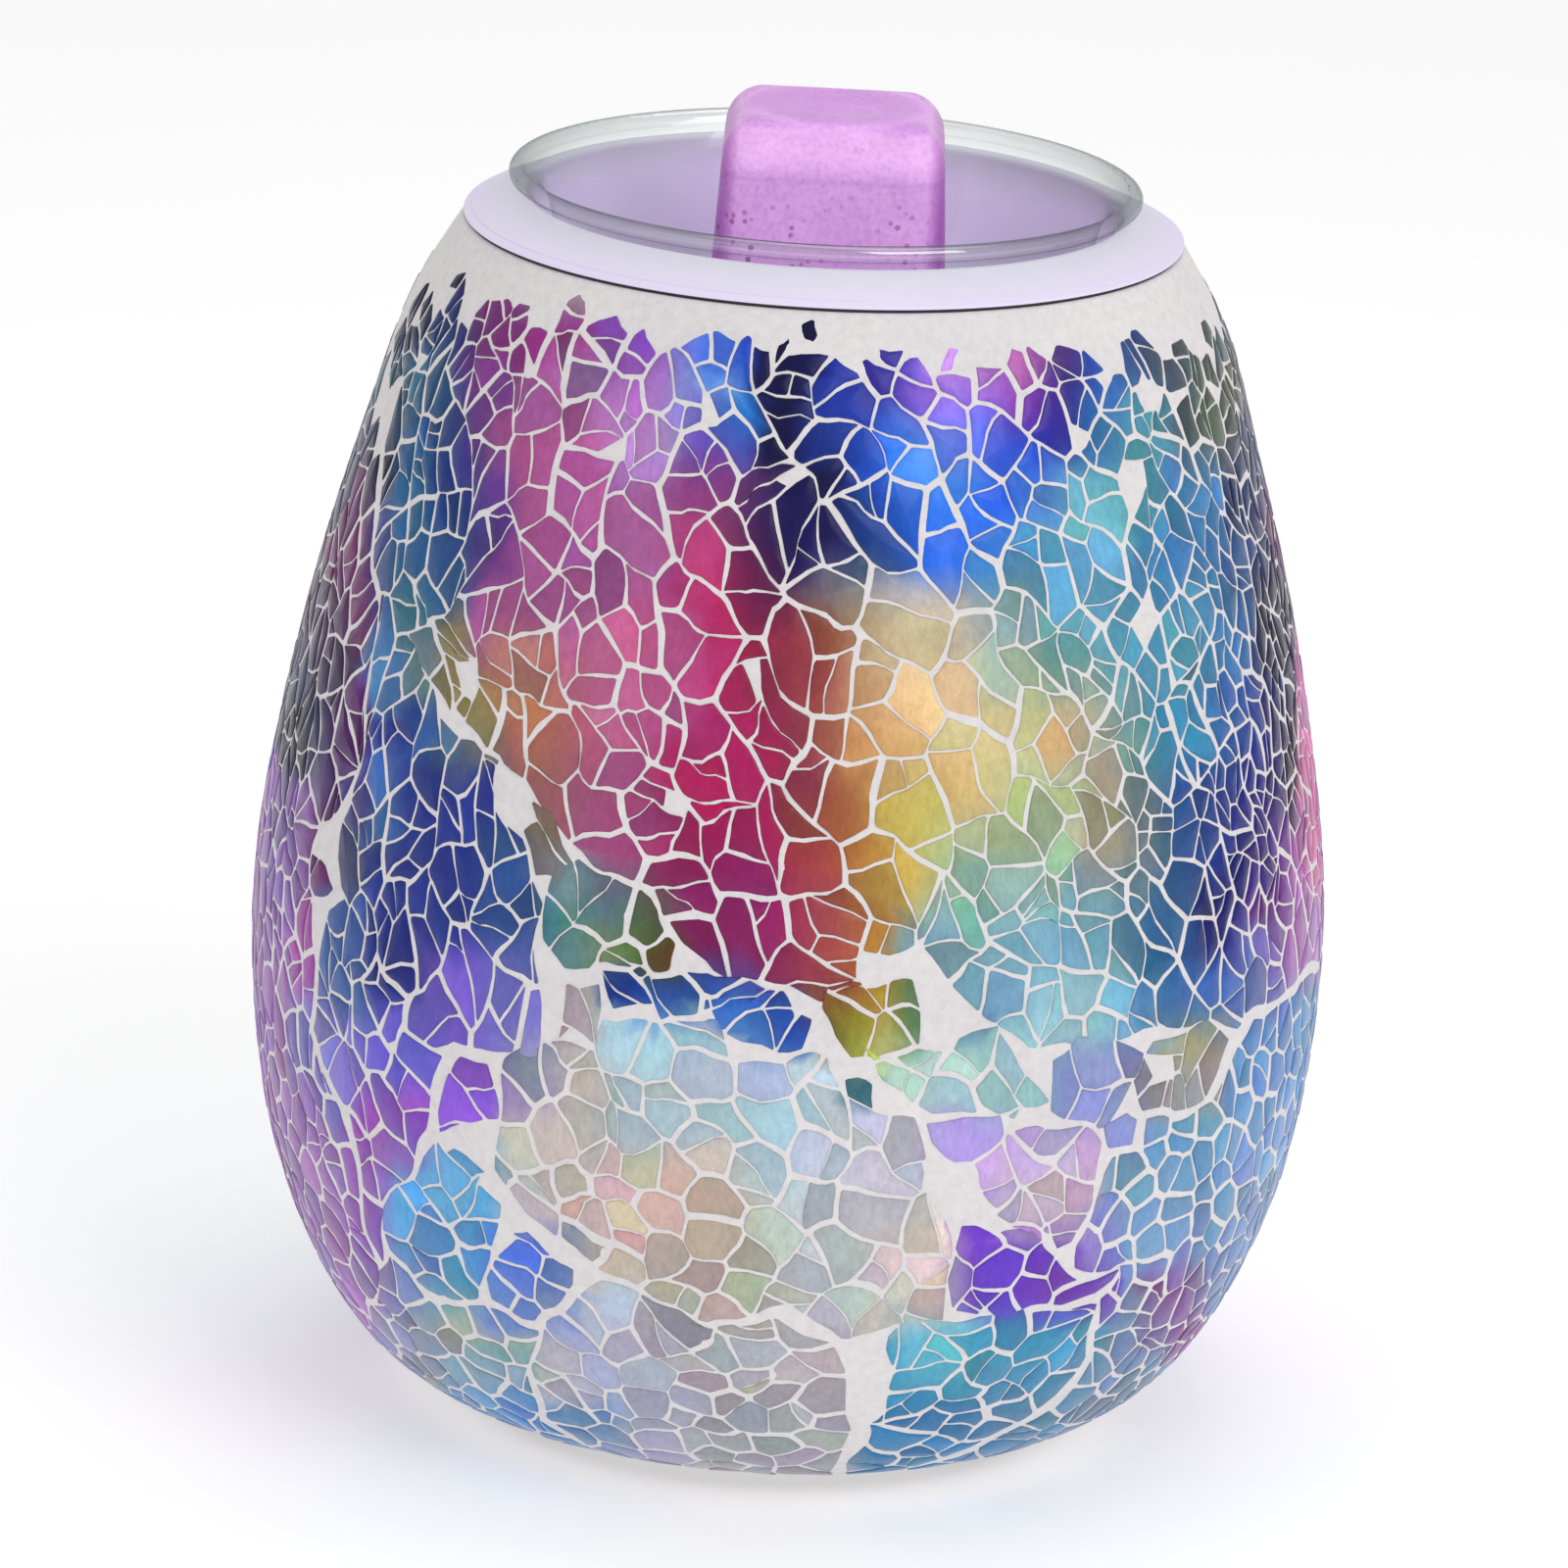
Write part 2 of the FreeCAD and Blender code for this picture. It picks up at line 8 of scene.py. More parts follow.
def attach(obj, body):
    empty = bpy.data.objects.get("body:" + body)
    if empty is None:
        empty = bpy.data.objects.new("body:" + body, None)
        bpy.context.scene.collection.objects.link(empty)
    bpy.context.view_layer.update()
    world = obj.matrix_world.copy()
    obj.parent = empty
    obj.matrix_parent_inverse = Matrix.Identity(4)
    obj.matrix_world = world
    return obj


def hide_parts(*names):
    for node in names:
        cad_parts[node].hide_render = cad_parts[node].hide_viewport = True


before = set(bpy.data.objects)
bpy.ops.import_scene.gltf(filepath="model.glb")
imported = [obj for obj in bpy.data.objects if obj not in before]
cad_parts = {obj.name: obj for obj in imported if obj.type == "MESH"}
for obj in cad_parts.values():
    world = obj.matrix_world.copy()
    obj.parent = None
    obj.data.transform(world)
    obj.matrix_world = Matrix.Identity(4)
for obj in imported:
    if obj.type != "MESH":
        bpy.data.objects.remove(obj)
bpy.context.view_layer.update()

# --------------------------------------------------------------- light settings
WORLD = 0.60
LIGHTS = [
    ("key", (0.60, -0.80, 0.85), (0.0, 0.0, 0.07), (0.7, 0.7), 3.9),
    ("fill", (-0.8, -0.6, 0.5), (0.0, 0.0, 0.07), (0.6, 0.8), 0.5),
    ("top", (0.1, 0.15, 1.1), (0.0, 0.0, 0.1), (0.8, 0.6), 1.8),
]

# ------------------------------------------------------- layout of the mosaic
# (angle from the front in degrees, height in mm)
PATCHES = [
 ('olive', [(3.7, 69.7), (7.8, 70.9), (13.5, 70.3), (13.9, 67.6), (13.5, 64.0), (9.6, 62.9), (6.9, 61.7), (5.1, 64.2), (3.4, 67.5)]),
 ('main', [(-64.4, 136.0), (-59.6, 135.6), (-58.0, 136.5), (-50.9, 136.7), (-49.0, 138.1), (-43.6, 138.2), (-39.7, 139.4), (-35.9, 138.2), (-29.5, 139.0), (-26.4, 137.9), (-19.8, 138.8), (-16.2, 138.0), (-10.7, 138.4), (-8.7, 139.2), (-5.1, 139.0), (-0.8, 139.0), (2.1, 138.3), (4.2, 139.3), (9.3, 139.3), (11.0, 138.5), (16.6, 138.6), (17.8, 137.3), (23.8, 137.5), (27.0, 136.8), (33.7, 137.8), (37.5, 136.8), (42.2, 136.8), (45.4, 135.7), (53.9, 135.2), (61.0, 135.5), (65.7, 133.9), (74.7, 134.6), (85.9, 132.7), (107.0, 132.2), (107.0, 55.9), (71.3, 59.7), (57.0, 60.0), (54.6, 59.1), (50.6, 61.1), (46.6, 61.7), (44.3, 62.6), (38.9, 61.4), (33.6, 61.1), (27.4, 62.3), (20.2, 66.1), (16.4, 70.8), (14.8, 73.6), (15.0, 75.2), (12.3, 74.4), (9.2, 72.6), (7.8, 70.9), (4.3, 70.2), (3.4, 67.8), (1.1, 69.0), (-0.8, 70.0), (-5.4, 71.4), (-10.7, 74.0), (-13.2, 76.0), (-16.6, 79.2), (-21.9, 81.5), (-25.7, 84.5), (-29.7, 87.4), (-32.6, 89.2), (-36.5, 91.4), (-41.6, 93.6), (-46.8, 95.9), (-49.7, 97.9), (-52.1, 99.8), (-47.8, 101.9), (-46.9, 104.3), (-44.1, 108.2), (-47.4, 110.8), (-46.3, 114.9), (-46.7, 119.7), (-51.4, 124.2), (-60.4, 128.8), (-60.5, 131.8)]),
 ('small1', [(-31.4, 85.0), (-28.8, 86.4), (-26.3, 86.2), (-24.0, 80.3), (-25.4, 78.4), (-28.1, 78.1)]),
 ('teal', [(-26.5, 76.8), (-26.3, 79.7), (-23.9, 81.7), (-21.0, 80.9), (-17.1, 78.9), (-13.8, 76.1), (-11.4, 74.2), (-10.8, 74.1), (-11.2, 70.8), (-13.1, 69.6), (-15.3, 70.7), (-16.3, 70.6), (-23.6, 68.5), (-25.5, 71.2), (-26.2, 74.3)]),
 ('strip1', [(-19.0, 69.3), (-15.2, 70.4), (-14.3, 69.0), (-11.1, 69.9), (-8.0, 71.6), (-5.2, 71.5), (-3.1, 70.5), (-0.1, 68.7), (0.5, 66.3), (2.2, 66.0), (1.7, 62.8), (-3.8, 63.8), (-5.8, 64.5), (-7.4, 66.8), (-9.8, 65.6), (-12.6, 64.8), (-15.0, 66.7), (-17.5, 66.3)]),
 ('grey', [(-23.7, 66.5), (-19.7, 68.1), (-19.0, 65.1), (-19.3, 61.5), (-21.9, 62.3), (-23.6, 61.1)]),
 ('dteal', [(6.4, 59.3), (9.9, 59.8), (9.7, 56.3), (6.6, 56.8)]),
 ('pale', [(-28.5, 57.5), (-27.3, 59.8), (-23.9, 60.8), (-19.8, 60.9), (-18.6, 64.1), (-15.9, 64.9), (-11.8, 64.2), (-6.3, 65.4), (-5.1, 61.6), (2.7, 62.1), (4.7, 62.0), (5.5, 59.7), (5.9, 57.7), (9.9, 55.9), (12.9, 55.3), (14.5, 54.8), (14.7, 50.9), (15.5, 46.1), (16.8, 43.6), (18.3, 39.2), (19.3, 34.1), (19.4, 29.6), (15.7, 28.5), (11.3, 28.3), (7.1, 27.8), (5.4, 29.4), (2.7, 31.3), (-3.5, 28.9), (-8.8, 29.6), (-14.1, 31.4), (-17.3, 33.4), (-20.5, 35.9), (-23.9, 37.6), (-26.1, 38.9), (-28.4, 41.5), (-30.0, 43.3), (-29.7, 47.8), (-29.3, 52.6)]),
 ('palebot', [(-24.7, 24.9), (-20.8, 29.5), (-18.2, 32.4), (-16.1, 31.3), (-8.8, 29.1), (-2.9, 28.1), (1.8, 29.0), (5.9, 27.0), (8.3, 22.6), (10.1, 16.7), (9.9, 12.0), (10.6, 4.3), (-24.0, 4.3), (-22.6, 4.1), (-28.6, 10.0), (-28.2, 17.4), (-25.9, 22.2)]),
 ('azure', [(-38.1, 45.6), (-36.2, 44.0), (-34.9, 44.9), (-31.0, 42.2), (-32.0, 40.9), (-29.9, 39.2), (-31.1, 31.4), (-33.5, 26.1), (-38.2, 24.0), (-40.7, 23.2), (-44.6, 25.8), (-47.2, 27.1), (-46.5, 33.5), (-43.8, 37.8), (-40.2, 42.1)]),
 ('corn', [(-28.9, 36.2), (-26.8, 37.0), (-24.5, 34.7), (-21.4, 33.4), (-21.2, 31.0), (-23.3, 27.5), (-26.8, 23.8), (-29.8, 24.9), (-31.9, 26.3), (-31.8, 29.6), (-30.1, 32.7)]),
 ('violet', [(19.0, 39.2), (20.1, 41.5), (21.7, 41.8), (24.1, 40.3), (28.3, 38.8), (30.3, 36.9), (32.5, 34.7), (34.7, 33.2), (40.3, 32.2), (37.2, 29.4), (33.7, 29.2), (30.6, 29.1), (27.7, 28.4), (25.7, 29.5), (24.2, 31.3), (23.2, 30.2), (19.9, 31.2), (19.7, 34.7)]),
 ('lilac', [(15.4, 54.2), (22.4, 54.5), (23.3, 51.2), (27.3, 53.1), (31.5, 51.9), (35.5, 49.5), (35.3, 47.3), (34.7, 42.6), (33.7, 37.2), (32.1, 36.8), (30.5, 39.6), (25.1, 41.0), (23.2, 43.7), (21.3, 46.3), (18.4, 49.5), (15.9, 51.5)]),
 ('mint', [(8.4, 63.2), (10.4, 62.3), (13.6, 63.8), (16.1, 62.8), (20.2, 64.8), (21.5, 65.2), (24.0, 62.8), (25.2, 60.9), (28.6, 56.7), (25.5, 55.3), (24.5, 53.6), (22.3, 54.8), (16.0, 55.4), (13.8, 57.0), (11.7, 59.2)]),
 ('peri', [(29.2, 59.9), (32.4, 62.3), (36.3, 61.6), (40.0, 59.3), (38.0, 55.2), (36.9, 51.5), (34.5, 51.1), (31.3, 53.4), (28.5, 55.6)]),
 ('peri2', [(35.5, 51.5), (38.2, 52.5), (40.3, 51.5), (40.0, 48.2), (36.7, 48.6)]),
 ('khaki', [(41.6, 60.6), (45.1, 61.2), (49.7, 61.7), (53.5, 58.6), (52.5, 54.7), (50.3, 51.7), (45.3, 51.1), (40.5, 51.9), (38.4, 55.7), (39.9, 58.9)]),
 ('botright', [(13.1, 27.0), (15.6, 28.9), (25.0, 29.8), (33.4, 27.8), (38.4, 27.6), (39.1, 24.3), (40.2, 19.8), (37.5, 15.4), (33.9, 12.3), (30.0, 8.9), (20.0, 4.3), (12.6, 4.3), (13.0, 15.1), (15.1, 16.5), (14.9, 22.4), (13.3, 25.2)]),
 ('purple1', [(-37.1, 46.6), (-37.6, 49.2), (-36.0, 53.5), (-33.8, 55.4), (-30.8, 55.9), (-30.3, 50.0), (-30.6, 48.9), (-33.1, 48.4)]),
 ('lb', [(-85.2, 133.1), (-78.6, 135.4), (-70.3, 135.8), (-64.4, 136.0), (-60.5, 131.8), (-60.4, 128.8), (-51.4, 124.2), (-46.7, 119.7), (-46.3, 114.9), (-47.4, 110.8), (-44.1, 108.2), (-46.9, 104.3), (-47.8, 101.9), (-52.1, 99.8), (-49.0, 98.1), (-46.3, 96.4), (-43.9, 93.2), (-40.8, 92.6), (-37.0, 91.2), (-34.2, 90.0), (-33.9, 85.3), (-32.6, 83.1), (-30.5, 82.4), (-28.9, 78.3), (-26.4, 75.9), (-26.4, 74.0), (-26.6, 71.2), (-25.2, 59.0), (-29.7, 58.0), (-34.5, 56.8), (-36.6, 55.6), (-38.5, 51.3), (-38.9, 46.4), (-40.7, 42.8), (-44.1, 37.4), (-45.7, 34.4), (-47.8, 28.6), (-50.1, 25.2), (-50.4, 34.6), (-50.8, 38.2), (-52.2, 45.0), (-56.3, 49.0), (-57.9, 52.0), (-57.8, 59.8), (-57.7, 66.9), (-54.7, 69.0), (-56.1, 72.6), (-55.7, 77.3), (-55.6, 81.9), (-54.9, 86.6), (-56.8, 92.9), (-57.8, 99.4), (-63.9, 106.9), (-67.6, 112.8), (-73.1, 120.6), (-86.9, 128.1)]),
 ('farleft', [(-107.0, 131.2), (-91.4, 127.1), (-74.3, 120.4), (-68.5, 112.6), (-64.6, 106.7), (-58.4, 99.3), (-57.4, 92.7), (-55.5, 86.5), (-56.2, 81.7), (-56.3, 77.3), (-59.3, 75.9), (-61.7, 72.5), (-58.5, 71.6), (-56.3, 69.6), (-60.1, 67.2), (-58.3, 59.6), (-58.5, 51.8), (-56.9, 48.8), (-52.8, 44.4), (-51.4, 37.7), (-51.0, 34.2), (-50.9, 24.9), (-53.8, 18.6), (-59.2, 14.5), (-107.0, 17.1)]),
 ('rightblue', [(107.0, 55.6), (72.2, 58.6), (57.6, 59.2), (55.8, 57.9), (54.7, 57.4), (53.6, 54.1), (51.6, 50.9), (46.0, 50.2), (41.0, 51.1), (40.7, 47.3), (37.5, 47.5), (36.3, 46.5), (35.5, 42.1), (34.5, 36.8), (34.8, 33.9), (40.9, 32.9), (40.8, 31.6), (38.6, 28.4), (39.4, 26.9), (40.0, 23.8), (41.5, 19.2), (38.9, 14.3), (34.9, 11.1), (31.6, 7.4), (22.0, 4.3), (107.0, 4.3)]),
 ('botleft', [(-51.5, 24.4), (-47.5, 26.9), (-45.2, 25.1), (-41.3, 22.3), (-38.1, 23.5), (-33.4, 25.5), (-30.4, 24.5), (-27.1, 23.0), (-25.3, 25.7), (-26.8, 21.9), (-28.9, 17.2), (-29.8, 9.3), (-22.8, 4.1), (-25.0, 4.3), (-107.0, 4.3), (-107.0, 16.9), (-60.0, 13.8), (-53.8, 17.9)]),
]
HOLES = [
 [(-34.4, 89.4), (-31.0, 88.1), (-28.2, 84.6), (-30.2, 83.4), (-32.4, 83.5), (-34.0, 86.2)],
 [(-43.3, 99.9), (-40.9, 100.0), (-38.9, 97.4), (-39.6, 95.3), (-41.6, 96.2)],
 [(-13.9, 90.3), (-11.2, 90.0), (-11.6, 88.4), (-13.3, 88.7)],
 [(-4.1, 125.1), (-2.6, 126.2), (-1.3, 125.5), (-2.9, 124.1)],
 [(7.7, 75.1), (10.2, 74.0), (14.8, 74.6), (15.1, 70.5), (10.3, 70.9), (7.8, 70.3)],
 [(44.7, 124.3), (47.7, 124.4), (47.6, 121.2), (45.2, 119.2), (43.9, 121.1)],
 [(42.2, 107.0), (45.9, 110.7), (46.3, 106.4), (43.6, 104.4)],
 [(-6.9, 104.1), (-5.4, 104.9), (-3.3, 101.2), (-4.4, 100.8)],
 [(51.6, 132.8), (53.3, 129.0), (50.4, 128.9), (49.1, 131.6)],
 [(41.0, 58.9), (43.8, 58.3), (44.1, 54.7), (41.6, 55.0)],
 [(14.7, 50.3), (15.9, 50.8), (20.5, 45.8), (20.1, 41.8), (18.4, 40.2), (16.7, 44.2), (15.5, 46.5)],
]
SIZES = [
 (-38.0, 129.9, 12, 8, -72, 24),
 (-32.7, 113.7, 12, 8, -68, 25.6),
 (-17.3, 115.9, 13, 8, -65, 25.6),
 (-22.0, 100.5, 13, 7.5, -58, 16),
 (-8.5, 102.1, 13, 8.5, -62, 27.2),
 (-4.9, 83.3, 12, 8.5, -60, 25.6),
 (-19.6, 134.3, 9, 7, -60, 16),
 (-14.6, 136.7, 6, 5, 0, 9.6),
 (0.1, 126.5, 11, 9, -70, 28),
 (-0.6, 136.5, 8, 6, 0, 14.4),
 (16.7, 126.7, 13, 8, -62, 28.8),
 (16.1, 109.1, 14, 10, -62, 36),
 (15.9, 96.6, 13, 10, -65, 36),
 (9.4, 87.1, 12, 8, -70, 30.4),
 (20.1, 83.6, 9, 7, -62, 17.6),
 (25.6, 75.6, 9, 7, -60, 14.4),
 (32.6, 130.1, 9, 6.5, -70, 16),
 (39.5, 115.8, 12, 7, -78, 16),
 (50.0, 123.0, 9, 6, -65, 12.8),
 (37.1, 101.3, 9, 6.5, -70, 11.2),
 (47.3, 97.6, 10, 5.5, -75, 9.6),
 (45.4, 83.7, 10, 6.5, -65, 14.4),
 (61.9, 91.2, 10, 5, -80, 9.6),
 (63.0, 73.9, 9, 5, -80, 9.6),
 (-69.0, 129.5, 6, 5, -60, 10),
 (-57.5, 120.7, 9, 5.5, -80, 18),
 (-53.9, 107.1, 9, 5, -75, 14),
 (-48.1, 93.0, 8, 5, -85, 14),
 (-43.7, 83.0, 12, 6, 88, 20),
 (-33.1, 82.2, 11, 6.5, -65, 20),
 (-39.9, 71.7, 11, 7, -80, 22),
 (-36.0, 61.3, 12, 7, 88, 26),
 (-47.4, 61.5, 8, 5, -80, 12),
 (-71.9, 133.5, 4.4, 3.0, 80, 9),
 (-58.8, 134.6, 4.6, 3.2, 80, 9),
 (-49.5, 135.4, 4.6, 3.2, 90, 9),
 (-42.6, 137.0, 4.6, 3.2, 90, 9),
 (-33.5, 137.2, 5, 3.4, 90, 9),
 (-26.8, 137.0, 5, 3.4, 90, 9),
 (-17.7, 137.4, 5, 3.6, 90, 9),
 (-9.2, 137.8, 4.6, 3.4, 80, 9),
 (-0.7, 138.0, 4.4, 3.4, 80, 9),
 (7.8, 137.5, 4.8, 3.4, 90, 9),
 (16.3, 137.1, 4.8, 3.4, 90, 9),
 (23.5, 136.4, 4.8, 3.6, 80, 9),
 (32.9, 136.1, 4.6, 3.4, 90, 9),
 (41.3, 135.3, 4.6, 3.4, 90, 9),
 (50.8, 134.3, 4.6, 3.2, 90, 9),
 (63.5, 133.6, 4.8, 3.0, 90, 9),
 (-39.5, 132.8, 6, 4.6, -80, 12),
 (-25.1, 133.2, 6, 5, 90, 14),
 (9.0, 133.8, 7, 5.5, -70, 16),
 (22.7, 132.7, 6, 5, -60, 14),
 (38.0, 131.7, 6, 5, -60, 14),
 (54.9, 129.8, 6, 4.4, -60, 12),
 (-21.4, 79.1, 4.4, 3.8, 0, 30),
 (-20.9, 73.7, 4.4, 3.8, 0, 30),
 (-14.6, 74.7, 4.2, 3.6, 0, 30),
 (-33.1, 52.8, 6, 5, 0, 30),
 (-13.9, 66.0, 5.2, 4.2, 0, 30),
 (-2.0, 67.2, 5.2, 4.2, 0, 30),
 (6.0, 66.5, 6.5, 4.5, -60, 20),
 (-23.9, 56.2, 5.0, 4.4, -70, 30),
 (-17.4, 51.6, 4.8, 4.3, -60, 30),
 (-9.4, 56.3, 5.8, 5, -60, 30),
 (0.5, 57.2, 6.2, 5, -30, 30),
 (-19.4, 42.9, 4.8, 4.4, -40, 30),
 (-10.9, 39.4, 5.4, 4.8, -30, 30),
 (0.9, 47.9, 6.2, 5, -60, 30),
 (8.7, 50.5, 6.4, 5, -70, 30),
 (11.5, 38.3, 5.4, 4.8, -60, 30),
 (-0.5, 34.3, 5.0, 4.4, -20, 30),
 (14.3, 30.6, 4.8, 4.2, -60, 30),
 (-15.6, 23.1, 5.0, 4.2, -60, 30),
 (-4.4, 19.1, 4.5, 3.9, 0, 30),
 (4.5, 19.7, 4.5, 3.9, 0, 30),
 (-9.5, 10.7, 4.2, 3.6, 0, 30),
 (-37.5, 35.8, 4.4, 3.8, 0, 30),
 (-26.7, 30.0, 4.4, 3.8, -40, 30),
 (-45.2, 14.8, 4.2, 3.5, 0, 30),
 (-35.2, 9.3, 4.2, 3.4, 0, 30),
 (20.8, 24.7, 4.8, 4.2, -20, 30),
 (31.8, 24.4, 4.8, 4.2, -20, 30),
 (22.1, 14.4, 4.8, 4, 0, 30),
 (25.8, 35.9, 4.3, 3.6, -30, 30),
 (24.4, 48.4, 5.0, 4.3, -50, 30),
 (20.4, 59.3, 5.2, 4.4, -40, 30),
 (14.2, 60.8, 5.0, 4.2, -30, 30),
 (34.1, 56.4, 4.5, 4.0, 0, 30),
 (46.2, 56.3, 4.6, 3.6, 60, 30),
 (44.5, 38.5, 4.4, 3.8, -40, 30),
 (58.2, 39.6, 4.6, 3.6, -60, 30),
 (50.9, 56.3, 4.6, 3.6, -60, 30),
 (54.5, 22.7, 4.4, 3.6, -40, 30),
 (48.1, 13.3, 4.4, 3.6, -20, 30),
 (66.5, 51.6, 4.6, 3.6, -60, 30),
 (-64.8, 37.3, 5.0, 4, -70, 24),
 (-61.7, 26.0, 4.8, 3.8, -60, 24),
 (-64.8, 67.4, 6.0, 4.2, -80, 20),
 (-71.1, 94.6, 6.5, 4.4, -85, 20),
 (-80.6, 115.4, 6.5, 4.2, -80, 20),
]
